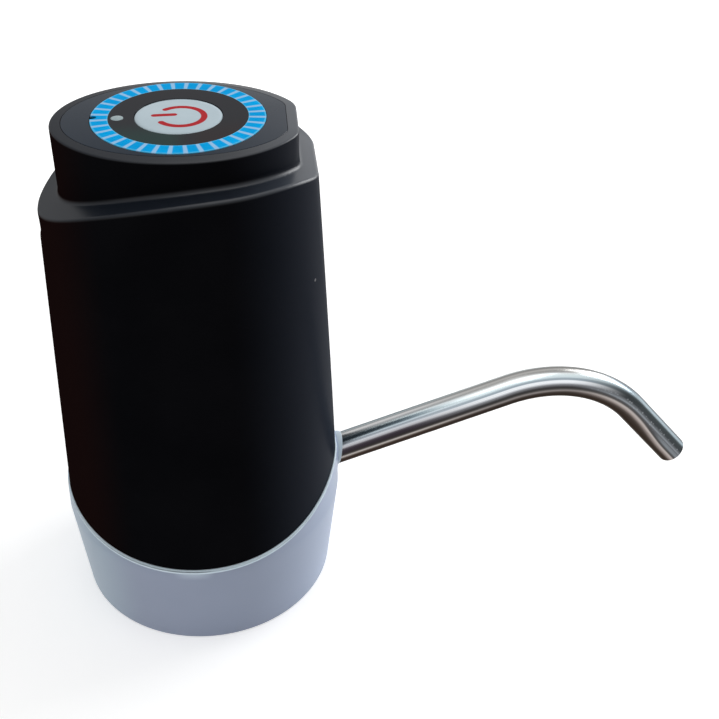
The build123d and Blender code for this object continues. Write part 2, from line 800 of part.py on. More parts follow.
def motor_rotor():
    """Shaft, slotted armature and commutator."""
    low = motor_bottom + armature_low_gap
    high = motor_top - armature_high_gap
    core = rod(pump_x, 0, armature_radius, low, high)
    for turn in (0, 120, 240):
        slot = block((armature_slot_start, -armature_slot / 2, low), (tall, armature_slot / 2, high))
        core = core - Pos(pump_x, 0, 0) * Rot(0, 0, turn) * slot
    shaft_low = housing_bottom + diaphragm_cup_height + wobble_thickness + shaft_low_gap
    shaft = rod(pump_x, 0, shaft_radius, shaft_low, motor_top + motor_cap_height - shaft_top_gap)
    return core + shaft + rod(pump_x, 0, commutator_radius, high, high + commutator_length)


def motor_end_cap():
    """Plastic cap with the rear bearing."""
    cap = rod(pump_x, 0, motor_radius, motor_top, motor_top + motor_cap_height)
    cap = cap + rod(pump_x, 0, motor_radius - motor_wall - screw_fit, motor_top - motor_cap_spigot, motor_top)
    cap = fillet(cap.edges().group_by(Axis.Z)[-1], motor_wall)
    bearing_top = motor_top + motor_cap_height - bearing_roof
    return cap - rod(pump_x, 0, shaft_radius + screw_fit, motor_top - motor_cap_spigot, bearing_top)


def motor_terminals():
    """Two brass tags on the end cap."""
    pieces = []
    low = motor_top + motor_cap_height
    for side in (-1, 1):
        y = side * terminal_spread
        tag_low = (pump_x - terminal_width / 2, y - terminal_thickness / 2, low)
        tag_high = (pump_x + terminal_width / 2, y + terminal_thickness / 2, terminal_top)
        pieces.append(block(tag_low, tag_high))
    return Compound(children=pieces)


def motor_leads():
    """Two short insulated wires from the tags to the board."""
    pieces = []
    for side in (-1, 1):
        pieces.append(rod(pump_x, side * terminal_spread, lead_radius, terminal_top, board_bottom))
    return Compound(children=pieces)


def pump_screws():
    """Long screws that clamp the pump's layers."""
    return screws_up(
        pump_screw_places,
        pump_screw_radius,
        pump_screw_head,
        pump_screw_head_height,
        pump_bottom + pump_screw_sink,
        pump_screw_tip,
    )


def battery_cell():
    """Round lithium cell with its raised end."""
    can_top = cell_top - cell_button_height
    cell = rod(battery_x, 0, cell_radius, cell_bottom, can_top)
    cell = fillet(cell.edges().group_by(Axis.Z)[-1], cell_round)
    return cell + rod(battery_x, 0, cell_radius / 3, can_top, cell_top)


def battery_tabs():
    """Welded strips at the two ends of the cell, led out to the sides."""
    reach = lead_y + lead_radius
    near_x = battery_x - tab_width / 2
    far_x = battery_x + tab_width / 2
    low_tab = block((near_x, 0, plate_top), (far_x, reach, cell_bottom))
    high_tab = block((near_x, -reach, cell_top), (far_x, tab_width / 2, cell_top + tab_thickness))
    return Compound(children=[low_tab, high_tab])


def battery_leads():
    """Insulated wires from the strips up to the board."""
    low_lead = rod(battery_x, lead_y, lead_radius, cell_bottom, board_bottom)
    high_lead = rod(battery_x, -lead_y, lead_radius, cell_top + tab_thickness, board_bottom)
    return Compound(children=[low_lead, high_lead])


def frame_screws():
    """Screws from below the deck into the frame's bosses."""
    return screws_up(
        frame_screw_places, screw_radius, screw_head, screw_head_height, deck_bottom, frame_screw_tip
    )


def inner_frame():
    """Moulded frame: foot plate, spine, cell cradles, pump cup, motor ring and board posts."""
    frame = rod(0, 0, plate_radius, deck_top, plate_top)
    low = (spine_x - spine_thickness / 2, -spine_half_width, deck_top)
    high = (spine_x + spine_thickness / 2, spine_half_width, board_bottom)
    frame = frame + block(low, high)
    cell_bore = cell_radius + cradle_fit
    for level in cradle_levels:
        frame = frame + rod(battery_x, 0, cell_bore + cradle_wall, level, level + cradle_height)
    cup_outer = pump_radius
    frame = frame + rod(pump_x, 0, cup_outer, plate_top, pump_bottom)
    frame = frame - rod(pump_x, 0, cup_outer - cup_wall, plate_top, pump_bottom)
    motor_bore = motor_radius + cradle_fit
    ring_top = motor_ring_level + cradle_height
    frame = frame + rod(pump_x, 0, motor_bore + cradle_wall, motor_ring_level, ring_top)
    bridge_low = (spine_x, -motor_bore / 2, motor_ring_level)
    frame = frame + block(bridge_low, (pump_x, motor_bore / 2, ring_top))
    frame = frame - rod(pump_x, 0, motor_bore, motor_ring_level, ring_top)
    frame = frame - rod(pump_x, 0, pump_radius + cradle_fit, pump_bottom, motor_bottom)
    frame = frame - rod(battery_x, 0, cell_bore, plate_top, board_bottom - spine_bridge)
    for side in (-1, 1):
        y = side * board_post_y
        frame = frame + rod(spine_x, y, board_post_radius, deck_top, board_bottom)
        hole_bottom = board_bottom - board_screw_depth
        frame = frame - rod(spine_x, y, board_screw_radius + screw_fit, hole_bottom, board_bottom)
    for x, y in frame_screw_places:
        frame = frame + rod(x, y, screw_boss, plate_top, plate_top + screw_boss_height)
        frame = frame - rod(x, y, screw_radius + screw_fit, deck_top, frame_screw_tip + screw_tip_gap)
    window_low = (pump_x + pump_radius / 2, -hose_window, deck_top)
    frame = frame - block(window_low, (plate_radius + 1, hose_window, hose_window_top))
    return frame - rod(inlet_x, 0, intake_neck, deck_top, plate_top)


# places that several pieces share
intake_neck = nipple_radius + intake_neck_wall
seal_hole = spout_bore + seal_sleeve + spout_clearance
frame_screw_tip = plate_top + screw_boss_height - frame_screw_short
pump_screw_tip = housing_bottom + pump_screw_depth - cover_thickness
pump_screw_places = [
    (
        pump_x + pump_screw_pitch * cos(radians(45 + index * 360 / pump_screw_count)),
        pump_screw_pitch * sin(radians(45 + index * 360 / pump_screw_count)),
    )
    for index in range(pump_screw_count)
]
cup_angles = [cup_start_angle + index * 360 / diaphragm_cup_count for index in range(diaphragm_cup_count)]
o_ring_stations = [-boss_depth - o_ring_first, -boss_depth - o_ring_first - o_ring_pitch]
switch_bore_floor = board_top + switch_floor
lead_y = cell_radius + cradle_fit + cradle_wall + lead_radius + lead_gap
socket_level = board_top + socket_height / 2
form_at_board = (form_top_height - socket_level) / (form_top_height - form_low_height)
wall_half_x = form_top_half_x + (form_low_radius - form_top_half_x) * form_at_board - shell_wall
wall_half_y = form_top_half_y + (form_low_radius - form_top_half_y) * form_at_board - shell_wall
socket_face_x = socket_inset - wall_half_x * cos(asin(socket_width / 2 / wall_half_y))

nodes = {
    "outer_shell": outer_shell,
    "top_panel": top_panel,
    "dial_label": dial_label,
    "power_button": power_button,
    "light_pipe": light_pipe,
    "status_lamp": status_lamp,
    "tact_switch": tact_switch,
    "switch_plunger": switch_plunger,
    "control_board": control_board,
    "board_components": board_components,
    "board_screws": board_screws,
    "usb_socket": usb_socket,
    "base_collar": base_collar,
    "neck_seal": neck_seal,
    "intake_nipple": intake_nipple,
    "spout_tube": spout_tube,
    "spout_seal": spout_seal,
    "spout_elbow": spout_elbow,
    "spout_o_rings": spout_o_rings,
    "inlet_hose": inlet_hose,
    "outlet_hose": outlet_hose,
    "pump_cover": pump_cover,
    "valve_plate": valve_plate,
    "pump_diaphragm": pump_diaphragm,
    "pump_housing": pump_housing,
    "pump_screws": pump_screws,
    "wobble_plate": wobble_plate,
    "eccentric_hub": eccentric_hub,
    "motor_can": motor_can,
    "motor_magnets": motor_magnets,
    "motor_rotor": motor_rotor,
    "motor_end_cap": motor_end_cap,
    "motor_terminals": motor_terminals,
    "motor_leads": motor_leads,
    "battery_cell": battery_cell,
    "battery_tabs": battery_tabs,
    "battery_leads": battery_leads,
    "inner_frame": inner_frame,
    "frame_screws": frame_screws,
}

os.makedirs("parts", exist_ok=True)
for name, build in nodes.items():
    export_step(build(), f"parts/{name}.step")
    print(name, "written")
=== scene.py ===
import bpy
import math
import numpy as np
from mathutils import Matrix, Vector
from types import SimpleNamespace


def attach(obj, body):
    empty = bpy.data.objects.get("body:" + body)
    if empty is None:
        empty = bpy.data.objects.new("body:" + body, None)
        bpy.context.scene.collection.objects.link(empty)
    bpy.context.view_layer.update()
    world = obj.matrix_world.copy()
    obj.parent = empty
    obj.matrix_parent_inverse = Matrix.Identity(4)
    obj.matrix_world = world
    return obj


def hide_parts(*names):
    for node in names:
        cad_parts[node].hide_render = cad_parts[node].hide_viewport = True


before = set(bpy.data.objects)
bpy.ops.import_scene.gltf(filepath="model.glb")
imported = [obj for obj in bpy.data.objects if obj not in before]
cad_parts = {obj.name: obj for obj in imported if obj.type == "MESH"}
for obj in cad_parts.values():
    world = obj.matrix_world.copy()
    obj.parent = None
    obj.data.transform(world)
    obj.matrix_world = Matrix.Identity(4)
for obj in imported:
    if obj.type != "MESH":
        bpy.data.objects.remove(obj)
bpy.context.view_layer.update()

# Sizes are in millimetres, in the frame of the part; putMesh turns them into metres, in which finishes work.
# "turn" is the angle round the upright axis, "reach" the distance from it.

def addObject(name, data):
    thing = bpy.data.objects.new(name, data)
    bpy.context.scene.collection.objects.link(thing)
    return thing


# camera
cameraLook = {
    "place": (-0.0001, -0.2141, 0.2193),
    "swing": 10.8,      # degrees to the right of straight ahead
    "tilt": 36.07,      # degrees down
    "roll": 2.09,
    "lens": 53.07,
    "sensor": 36,
    "nearest": 0.01,
}


def placeCamera(look):
    swing, tilt, roll = (math.radians(look[key]) for key in ("swing", "tilt", "roll"))
    right = Vector((math.cos(swing), -math.sin(swing), 0))
    ahead = Vector((math.sin(swing) * math.cos(tilt), math.cos(swing) * math.cos(tilt), -math.sin(tilt)))
    up = right.cross(ahead)
    rolledRight = right * math.cos(roll) + up * math.sin(roll)
    rolledUp = up * math.cos(roll) - right * math.sin(roll)
    data = bpy.data.cameras.new("viewCamera")
    data.lens = look["lens"]
    data.sensor_width = look["sensor"]
    data.clip_start = look["nearest"]
    camera = addObject("viewCamera", data)
    axes = Matrix((rolledRight, rolledUp, -ahead)).transposed()
    camera.matrix_world = Matrix.Translation(look["place"]) @ axes.to_4x4()
    bpy.context.scene.camera = camera


placeCamera(cameraLook)
print("camera placed")


# mesh helpers
def fullTurn(steps):
    return np.linspace(0, 2 * math.pi, steps, endpoint=False)


def gridFaces(rows, columns, start=0, closeRows=False, closeColumns=False):
    # quads between neighbouring rows and columns of one grid of points
    row = np.arange(rows if closeRows else rows - 1)
    column = np.arange(columns if closeColumns else columns - 1)
    i, j = np.meshgrid(row, column, indexing="ij")
    iNext = (i + 1) % rows
    jNext = (j + 1) % columns
    corners = [(i, j), (iNext, j), (iNext, jNext), (i, jNext)]
    return np.stack([row * columns + column for row, column in corners], -1).reshape(-1, 4) + start


def closedFaces(points):
    return gridFaces(*points.shape[:2], closeRows=True, closeColumns=True)


def markFacing(mesh):
    # each point keeps the way its skin looks, for finishes that depend on it
    normals = np.zeros(len(mesh.vertices) * 3, np.float32)
    mesh.vertices.foreach_get("normal", normals)
    layer = mesh.attributes.get("facing") or mesh.attributes.new("facing", "FLOAT_VECTOR", "POINT")
    layer.data.foreach_set("vector", normals)


def putMesh(name, parts, body, material, replaced=()):
    # parts: a list of (points in mm, faces counted from 0, optional uv per point)
    points, faces, uvs, count = [], [], [], 0
    for part in parts:
        points.append(np.asarray(part[0], float).reshape(-1, 3))
        faces += [[int(index) + count for index in face] for face in part[1]]
        uvs.append(part[2] if len(part) > 2 else np.zeros((len(points[-1]), 2)))
        count += len(points[-1])
    mesh = bpy.data.meshes.new(name)
    mesh.from_pydata((np.concatenate(points) / 1000).tolist(), [], faces)
    mesh.polygons.foreach_set("use_smooth", np.ones(len(mesh.polygons), bool))
    corner = np.zeros(len(mesh.loops), np.int32)
    mesh.loops.foreach_get("vertex_index", corner)
    layer = mesh.uv_layers.new(name="surface")
    layer.data.foreach_set("uv", np.concatenate(uvs)[corner].astype(np.float32).ravel())
    mesh.materials.append(material)
    mesh.update()
    markFacing(mesh)
    piece = addObject(name, mesh)
    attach(piece, body)
    if replaced:
        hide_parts(*replaced)
    print("  piece", name, len(mesh.vertices), "points")
    return piece


def roundedProfile(corners, radii, steps=6, hold=0.12, closed=True):
    # corners: arrays (n, 2) of reach and height. Each corner with a radius becomes an arc that
    # touches both runs, with a point a little before and after it so that the runs stay flat.
    count = len(corners)
    line = []
    for index, (corner, radius) in enumerate(zip(corners, radii)):
        ends = not closed and index in (0, count - 1)
        if radius == 0 or ends:
            line.append(corner)
            continue
        back = corners[index - 1] - corner
        onward = corners[(index + 1) % count] - corner
        back = back / np.linalg.norm(back, axis=1, keepdims=True)
        onward = onward / np.linalg.norm(onward, axis=1, keepdims=True)
        half = np.arccos(np.clip((back * onward).sum(1, keepdims=True), -1, 1)) / 2
        reach = radius / np.tan(half)
        middle = back + onward
        centre = corner + middle / np.linalg.norm(middle, axis=1, keepdims=True) * radius / np.sin(half)
        first = corner + back * reach - centre
        last = corner + onward * reach - centre
        sweep = math.pi - 2 * half
        line.append(corner + back * (reach + hold))
        for share in np.linspace(0, 1, steps + 1):
            arc = np.sin((1 - share) * sweep) * first + np.sin(share * sweep) * last
            line.append(centre + arc / np.sin(sweep))
        line.append(corner + onward * (reach + hold))
    return np.stack(line, 1)


def carryRound(turn, profile):
    # each turn's profile (reach, height) set upright at its angle
    x = profile[..., 0] * np.cos(turn)[:, None]
    y = profile[..., 0] * np.sin(turn)[:, None]
    return np.stack([x, y, profile[..., 1]], -1)


def ringSurface(turn, profile):
    # a closed profile carried once round: a ring with no edge
    points = carryRound(turn, profile)
    return points, closedFaces(points)


def latheSurface(line, steps=160, centre=(0, 0)):
    # an open profile of (reach, height), from one pole to the other, turned round an upright axis
    turn = fullTurn(steps)
    profile = np.broadcast_to(np.asarray(line)[None, 1:-1], (steps, len(line) - 2, 2))
    points = carryRound(turn, profile) + np.array([*centre, 0])
    faces = gridFaces(steps, len(line) - 2, closeRows=True).tolist()
    poles = np.array([[*centre, line[0][1]], [*centre, line[-1][1]]])
    first, last = steps * (len(line) - 2), steps * (len(line) - 2) + 1
    width = len(line) - 2
    for index in range(steps):
        following = (index + 1) % steps
        faces.append([first, following * width, index * width])
        faces.append([last, index * width + width - 1, following * width + width - 1])
    return np.concatenate([points.reshape(-1, 3), poles]), faces


def ovalReach(turn, halfX, halfY, flatX, corner):
    # reach of an oval cut by a flat at +X: the flat near the X axis, then a circle of the corner's
    # radius that touches flat and oval, then the oval itself
    angle = np.abs((turn + math.pi) % (2 * math.pi) - math.pi)
    low, high = np.zeros_like(halfX * angle), np.full_like(halfX * angle, math.pi / 2)
    # the oval's point where that circle touches it is found by halving a span of its parameter t
    for _ in range(40):
        t = (low + high) / 2
        nx, ny = halfY * np.cos(t), halfX * np.sin(t)
        length = np.hypot(nx, ny)
        beyond = halfX * np.cos(t) - corner * nx / length > flatX - corner
        low, high = np.where(beyond, t, low), np.where(beyond, high, t)
    centreX = flatX - corner
    centreY = halfY * np.sin(t) - corner * ny / length
    flatEnd = np.arctan2(centreY, flatX + 0 * centreY)
    ovalStart = np.arctan2(halfY * np.sin(t), halfX * np.cos(t))
    along = np.cos(angle) * centreX + np.sin(angle) * centreY
    inside = np.maximum(along ** 2 - centreX ** 2 - centreY ** 2 + corner ** 2, 0)
    onCorner = along + np.sqrt(inside)
    onOval = 1 / np.hypot(np.cos(angle) / halfX, np.sin(angle) / halfY)
    onFlat = flatX / np.maximum(np.cos(angle), 0.1)
    return np.where(angle < flatEnd, onFlat, np.where(angle < ovalStart, onCorner, onOval))


# the shell's form: an oval with a flat that grows round downwards
formSizes = {
    "lowHeight": 26.0, "lowX": 34.97, "lowY": 34.97, "lowFlat": 34.85,
    "topHeight": 128.0, "topX": 31.0, "topY": 26.1, "topFlat": 28.5, "corner": 9.0,
    "topTurn": -4.0,    # degrees that the oval has turned by the top
    "shoulderX": 8.2, "shoulderHeight": 120.9, "shoulderRadius": 89.0, "shoulderFourth": 1.0e-6,
    "spoutSquare": 0.6e-3, "spoutFourth": 1.36e-5,
    "jointX": -4.54, "jointHeight": 26.93, "jointSquare": 2.98e-3, "jointFourth": 2.72e-6,
    "capX": 26.9, "capY": 21.5, "capFlat": 25.1, "capCorner": 7.0, "capHeight": 127.25,
    "panelHeight": 127.85, "panelBottom": 125.8, "dialWell": 18.53,
}
form = SimpleNamespace(**formSizes)
turns = fullTurn(540)


def formReach(height, inset):
    # straight from the low outline to the top outline, which is turned a little, moved inwards
    share = (height - form.lowHeight) / (form.topHeight - form.lowHeight)
    ends = [(formSizes["low" + side], formSizes["top" + side]) for side in ("X", "Y", "Flat")]
    halfX, halfY, flat = (low + (top - low) * share - inset for low, top in ends)
    return ovalReach(turns - math.radians(form.topTurn) * share, halfX, halfY, flat, form.corner)


def capReach(inset):
    corner = max(form.capCorner - inset, 1.0)
    turned = turns - math.radians(form.topTurn)
    halfX, halfY, flat = (size - inset for size in (form.capX, form.capY, form.capFlat))
    return ovalReach(turned, halfX, halfY, flat, corner)


def crownHeight(reach):
    # along each ray a straight fall from the dial's well to the cap's edge
    share = (reach - form.dialWell) / (capReach(0) - form.dialWell)
    return form.panelHeight - (form.panelHeight - form.capHeight) * share


def shoulderHeight(x, inset=0):
    # away from the crown towards -X a circle's arch less a fourth power of the way; towards the spout
    # nearly flat at first, then falling with the fourth power
    away = x - form.shoulderX
    arch = np.sqrt((form.shoulderRadius - inset) ** 2 - away ** 2) - form.shoulderRadius
    arch = arch - form.shoulderFourth * away ** 4
    spoutSide = -inset - form.spoutSquare * away ** 2 - form.spoutFourth * away ** 4
    return form.shoulderHeight + np.where(away > 0, spoutSide, arch)


def jointHeight(x, rise=0):
    # a dip along X that steepens towards its ends: a square and a fourth power of the way from its low point
    away = x - form.jointX
    return form.jointHeight + form.jointSquare * away ** 2 + form.jointFourth * away ** 4 + rise


def meet(curve, inset):
    # where the form, moved inwards, meets a height that depends on X: a few rounds settle it
    height = curve(0 * turns)
    for _ in range(12):
        reach = formReach(height, inset)
        height = curve(reach * np.cos(turns))
    return np.stack([formReach(height, inset), height], -1)


def level(*corners):
    # corners of a profile whose height is the same all round
    return [np.stack([reach + 0 * turns, height + 0 * turns], -1) for reach, height in corners]


def wallBetween(low, high, inset, count):
    # points on the form's wall between two ends, without the ends
    levels = [low[:, 1] + (high[:, 1] - low[:, 1]) * k / (count + 1) for k in range(1, count + 1)]
    return [np.stack([formReach(level, inset), level], -1) for level in levels]


# shader helpers
def newTree(name):
    material = bpy.data.materials.new(name)
    material.use_nodes = True
    tree = material.node_tree
    return material, tree, tree.nodes["Principled BSDF"]


def isOutput(value):
    return isinstance(value, bpy.types.NodeSocket)


def fill(node, inputs):
    # an output is linked to the input; a number, colour or vector is set on it
    for key, value in inputs.items():
        if isOutput(value):
            node.id_data.links.new(value, node.inputs[key])
        else:
            node.inputs[key].default_value = value


def newNode(tree, kind, **settings):
    node = tree.nodes.new("ShaderNode" + kind)
    for key, value in settings.items():
        setattr(node, key, value)
    return node


def addNode(kind, inputs, **settings):
    # the node stands in the tree of the outputs that feed it
    node = newNode(next(value.id_data for value in inputs.values() if isOutput(value)), kind, **settings)
    fill(node, inputs)
    return node.outputs


def calc(operation, *values, clamp=False):
    return addNode("Math", dict(enumerate(values)), operation=operation, use_clamp=clamp)[0]


def times(*values):
    return calc("MULTIPLY", *values)


def plus(*values):
    return calc("ADD", *values)


def minus(*values):
    return calc("SUBTRACT", *values)


def highest(first, *others):
    for value in others:
        first = calc("MAXIMUM", first, value)
    return first


def distance(x, y):
    return calc("SQRT", plus(times(x, x), times(y, y)))


def mixColour(share, first, second):
    first, second = ((*value, 1) if isinstance(value, tuple) else value for value in (first, second))
    return addNode("Mix", {0: share, 6: first, 7: second}, data_type="RGBA")[2]


def smoothStep(value, low, high):
    return addNode("MapRange", {0: value, 1: low, 2: high}, interpolation_type="SMOOTHSTEP")[0]


def between(share, first, second):
    # from the first number to the second as the share goes from 0 to 1
    return addNode("MapRange", {0: share, 3: first, 4: second})[0]


def splitVector(vector):
    return addNode("SeparateXYZ", {0: vector})


def objectVector(tree):
    return newNode(tree, "TexCoord").outputs["Object"]


def facingVector(tree):
    return newNode(tree, "Attribute", attribute_name="facing").outputs["Vector"]


def surfaceUv(tree):
    return newNode(tree, "UVMap", uv_map="surface").outputs[0]


def noise(vector, scale, detail):
    return addNode("TexNoise", {"Vector": vector, "Scale": scale, "Detail": detail})[0]


def bump(height, strength, kind):
    return addNode("Bump", {"Height": height, "Strength": strength, "Distance": bumpDepths[kind]})[0]


def newGroup(name, inputs, outputs):
    # every group takes a vector and the given numbers, and puts out numbers
    group = bpy.data.node_groups.new(name, "ShaderNodeTree")
    addSocket = group.interface.new_socket
    addSocket("Vector", in_out="INPUT", socket_type="NodeSocketVector")
    for label, value in inputs.items():
        addSocket(label, in_out="INPUT", socket_type="NodeSocketFloat").default_value = value
    for label in outputs:
        addSocket(label, in_out="OUTPUT", socket_type="NodeSocketFloat")
    return group, group.nodes.new("NodeGroupInput").outputs, group.nodes.new("NodeGroupOutput")


def useGroup(group, inputs):
    return addNode("Group", inputs, node_tree=group)


def makeGrainGroup():
    # spark-eroded mould texture: two sizes of fine noise, and a slow change of tone
    group, given, out = newGroup("mouldGrain", {"Grain Size": 2500.0, "Tone Size": 60.0}, ["Height", "Tone"])
    vector, size = given["Vector"], given["Grain Size"]
    fine, coarse = noise(vector, size, 2.0), noise(vector, times(size, 0.37), 1.0)
    fill(out, {
        "Height": plus(times(fine, 0.6), times(coarse, 0.4)),
        "Tone": smoothStep(noise(vector, given["Tone Size"], 3.0), 0.3, 0.7)})
    return group


def makeSpeckGroup():
    # a few small round specks: cells of a Voronoi pattern, most of them switched off
    group, given, out = newGroup("dustSpecks", {"Spacing": 300.0, "Share": 0.02, "Width": 0.12}, ["Mask"])
    cells = addNode("TexVoronoi", {"Vector": given["Vector"], "Scale": given["Spacing"]})
    pick = addNode("SeparateColor", {0: cells["Color"]})
    chosen = calc("LESS_THAN", pick[0], given["Share"])
    width = times(given["Width"], plus(pick[1], 0.3))
    dot = calc("LESS_THAN", cells["Distance"], width)
    fill(out, {"Mask": times(chosen, dot)})
    return group


def makeBrushGroup():
    # long fine lines, and broader bands of them: noise drawn out along the vector's first direction
    group, given, out = newGroup("brushedLines", {"Across": 100.0, "Along": 2.0}, ["Lines", "Bands"])
    scales = (given["Along"], given["Across"], given["Across"])
    parts = [times(part, scale) for part, scale in zip(splitVector(given["Vector"]), scales)]
    stretched = addNode("CombineXYZ", dict(enumerate(parts)))[0]
    fill(out, {"Lines": noise(stretched, 1.0, 4.0), "Bands": noise(stretched, 0.12, 1.0)})
    return group


bumpDepths = {"grain": 0.00004, "lines": 0.00002, "film": 0.00002, "sign": 0.00003, "tracks": 0.00003,
              "sleeve": 0.0001}
mouldGrain = makeGrainGroup()
dustSpecks = makeSpeckGroup()
brushedLines = makeBrushGroup()

# where an effect begins and where it is full: along X as a share of sideX, or by a part of the facing vector
placeRuns = {"paintedLightLeft": (-0.5, -0.85), "paintedLightRight": (0.2, 1.0), "paintedSheenRun": (0.2, 0.95), "polish": (-1.0, 1.0)}
facingRuns = {"tone": (0.25, 0.9), "top": (0.15, 0.85), "side": (0.2, 0.95), "back": (0.1, 0.9)}


def placeShare(x, look, run):
    first, last = placeRuns[run]
    return smoothStep(x, first * look["sideX"], last * look["sideX"])


def handlingPolish(tree, look):
    # hands polish the faces that look up, most towards the spout, and a little the walls at spout and back
    x, y, z = splitVector(facingVector(tree))
    along = placeShare(splitVector(objectVector(tree))[0], look, "polish")
    top = plus(times(along, look["polishSpout"] - look["polishAway"]), look["polishAway"])
    top = times(top, smoothStep(z, *facingRuns["top"]))
    side = times(smoothStep(x, *facingRuns["side"]), look["polishSide"])
    back = times(smoothStep(y, *facingRuns["back"]), look["polishBack"])
    return highest(top, side, back)


def spreadRough(height, look):
    # the grain or the lines spread the roughness evenly about its middle value
    return plus(times(height, look["roughSpread"]), look["rough"] - look["roughSpread"] / 2)


def mouldedPlastic(name, look):
    # colour with a slow change of tone, mould grain in bump and roughness, a little dust, and on some finishes
    # painted light, painted sheen and a painted highlight
    material, tree, shader = newTree(name)
    vector = objectVector(tree)
    grain = useGroup(mouldGrain, {
        "Vector": vector, "Grain Size": look["grain"], "Tone Size": look.get("toneSize", 60.0)})
    colour = mixColour(grain["Tone"], look["colour"], look["shade"])
    if "sideX" in look:
        x = splitVector(vector)[0]
        # painted light: towards -X and towards +X the colour turns to tints that stand in for the light and
        # reflections on those sides
        for paintedTint in ("paintedLightLeft", "paintedLightRight"):
            colour = mixColour(placeShare(x, look, paintedTint), colour, look[paintedTint])
    if "paintedSheenSpout" in look:
        # painted sheen: faces that look up are paler, more so towards the spout
        tone = mixColour(placeShare(x, look, "paintedSheenRun"), look["paintedSheenAway"], look["paintedSheenSpout"])
        upward = smoothStep(splitVector(facingVector(tree))[2], *facingRuns["tone"])
        colour = mixColour(upward, colour, tone)
    # painted highlight: a pale bluish band along the lip at the joint
    if "lip" in look:
        colour = mixColour(splitVector(surfaceUv(tree))[0], colour, look["lip"])
    if look.get("dust", 0) > 0:
        specks = useGroup(dustSpecks, {
            "Vector": vector, "Spacing": look.get("dustSpacing", 260.0), "Share": look["dust"], "Width": 0.09})
        colour = mixColour(specks["Mask"], colour, look["dustColour"])
    fill(shader, {
        "Base Color": colour, "Roughness": spreadRough(grain["Height"], look),
        "Normal": bump(grain["Height"], look["bump"], "grain"),
        "Specular IOR Level": look.get("specular", 0.5), "Coat Roughness": look.get("coatRough", 0.2),
        "Coat Weight": handlingPolish(tree, look) if "polishSpout" in look else 0.0,
        "Subsurface Weight": look.get("glow", 0.0), "Subsurface Radius": (0.002, 0.002, 0.002),
        "Transmission Weight": look.get("clear", 0.0)})
    return material


def workedMetal(name, look):
    # metal with fine lines drawn out along one axis
    material, tree, shader = newTree(name)
    turned = addNode("Mapping", {
        "Vector": objectVector(tree), "Rotation": look.get("turned", (0, 0, 0))})[0]
    lines = useGroup(brushedLines, {"Vector": turned, "Across": look["across"], "Along": look["along"]})
    share = smoothStep(lines["Lines"], 0.35, 0.65)
    fill(shader, {
        "Base Color": mixColour(share, look["colour"], look["shade"]), "Metallic": 1.0,
        "Roughness": spreadRough(lines["Lines"], look),
        "Normal": bump(lines["Lines"], look["bump"], "lines")})
    return material


print("shader groups made")


# black shell
shellFinish = {
    "colour": (0.0035, 0.0036, 0.0045), "shade": (0.0048, 0.0048, 0.0058), "rough": 0.42, "roughSpread": 0.12,
    "grain": 2600.0, "toneSize": 45.0, "bump": 0.35, "specular": 0.0,
    "dust": 0.012, "dustColour": (0.16, 0.16, 0.17),
    # painted light: a reddish painted reflection towards -X and a bluish painted sheen towards +X
    "paintedLightLeft": (0.010, 0.0046, 0.0045), "paintedLightRight": (0.009, 0.013, 0.023), "sideX": 0.034,
    # painted sheen: faces that look up are paler and bluer, more so towards the spout
    "paintedSheenAway": (0.009, 0.012, 0.018), "paintedSheenSpout": (0.045, 0.055, 0.072),
    "polishSpout": 0.95, "polishAway": 0.30, "polishSide": 0.14, "polishBack": 0.10, "coatRough": 0.32,
}
shellSizes = {
    "wall": 2.1, "capWall": 2.2, "recess": 2.35, "shelf": 3.8, "wallSteps": 34, "innerSteps": 12,
    "lowRound": 0.15, "shoulderRound": 1.0, "footRound": 1.3, "rimRound": 0.5, "recessRound": 0.12,
    "innerRound": 0.1, "portWidth": 12.34, "portTall": 6.56, "portLevel": 105.58, "portNear": 0.05,
}


def makeOuterShell():
    s = SimpleNamespace(**shellSizes)
    low = meet(jointHeight, 0)
    high = meet(shoulderHeight, 0)
    cap, recess, shelf, inner = capReach(0), capReach(s.recess), capReach(s.shelf), capReach(s.capWall)
    foot = np.stack([cap, shoulderHeight(cap * np.cos(turns))], -1)
    innerArch = np.stack([inner, shoulderHeight(inner * np.cos(turns), s.wall)], -1)
    innerHigh = meet(lambda x: shoulderHeight(x, s.wall), s.wall)
    innerLow = meet(jointHeight, s.wall)
    under = form.panelBottom - s.capWall
    walls = wallBetween(low, high, 0, s.wallSteps)
    innerWalls = wallBetween(innerHigh, innerLow, s.wall, s.innerSteps)
    crown = level((cap, form.capHeight), (recess, crownHeight(recess)), (recess, form.panelBottom),
                  (shelf, form.panelBottom), (shelf, under), (inner, under))
    corners = [low, *walls, high, foot, *crown, innerArch, innerHigh, *innerWalls, innerLow]
    radii = [s.lowRound] + [0] * len(walls)
    radii += [s.shoulderRound, s.footRound, s.rimRound, s.recessRound]
    radii += [0] * (len(corners) - len(radii) - 1) + [s.innerRound]
    return ringSurface(turns, roundedProfile(corners, radii))


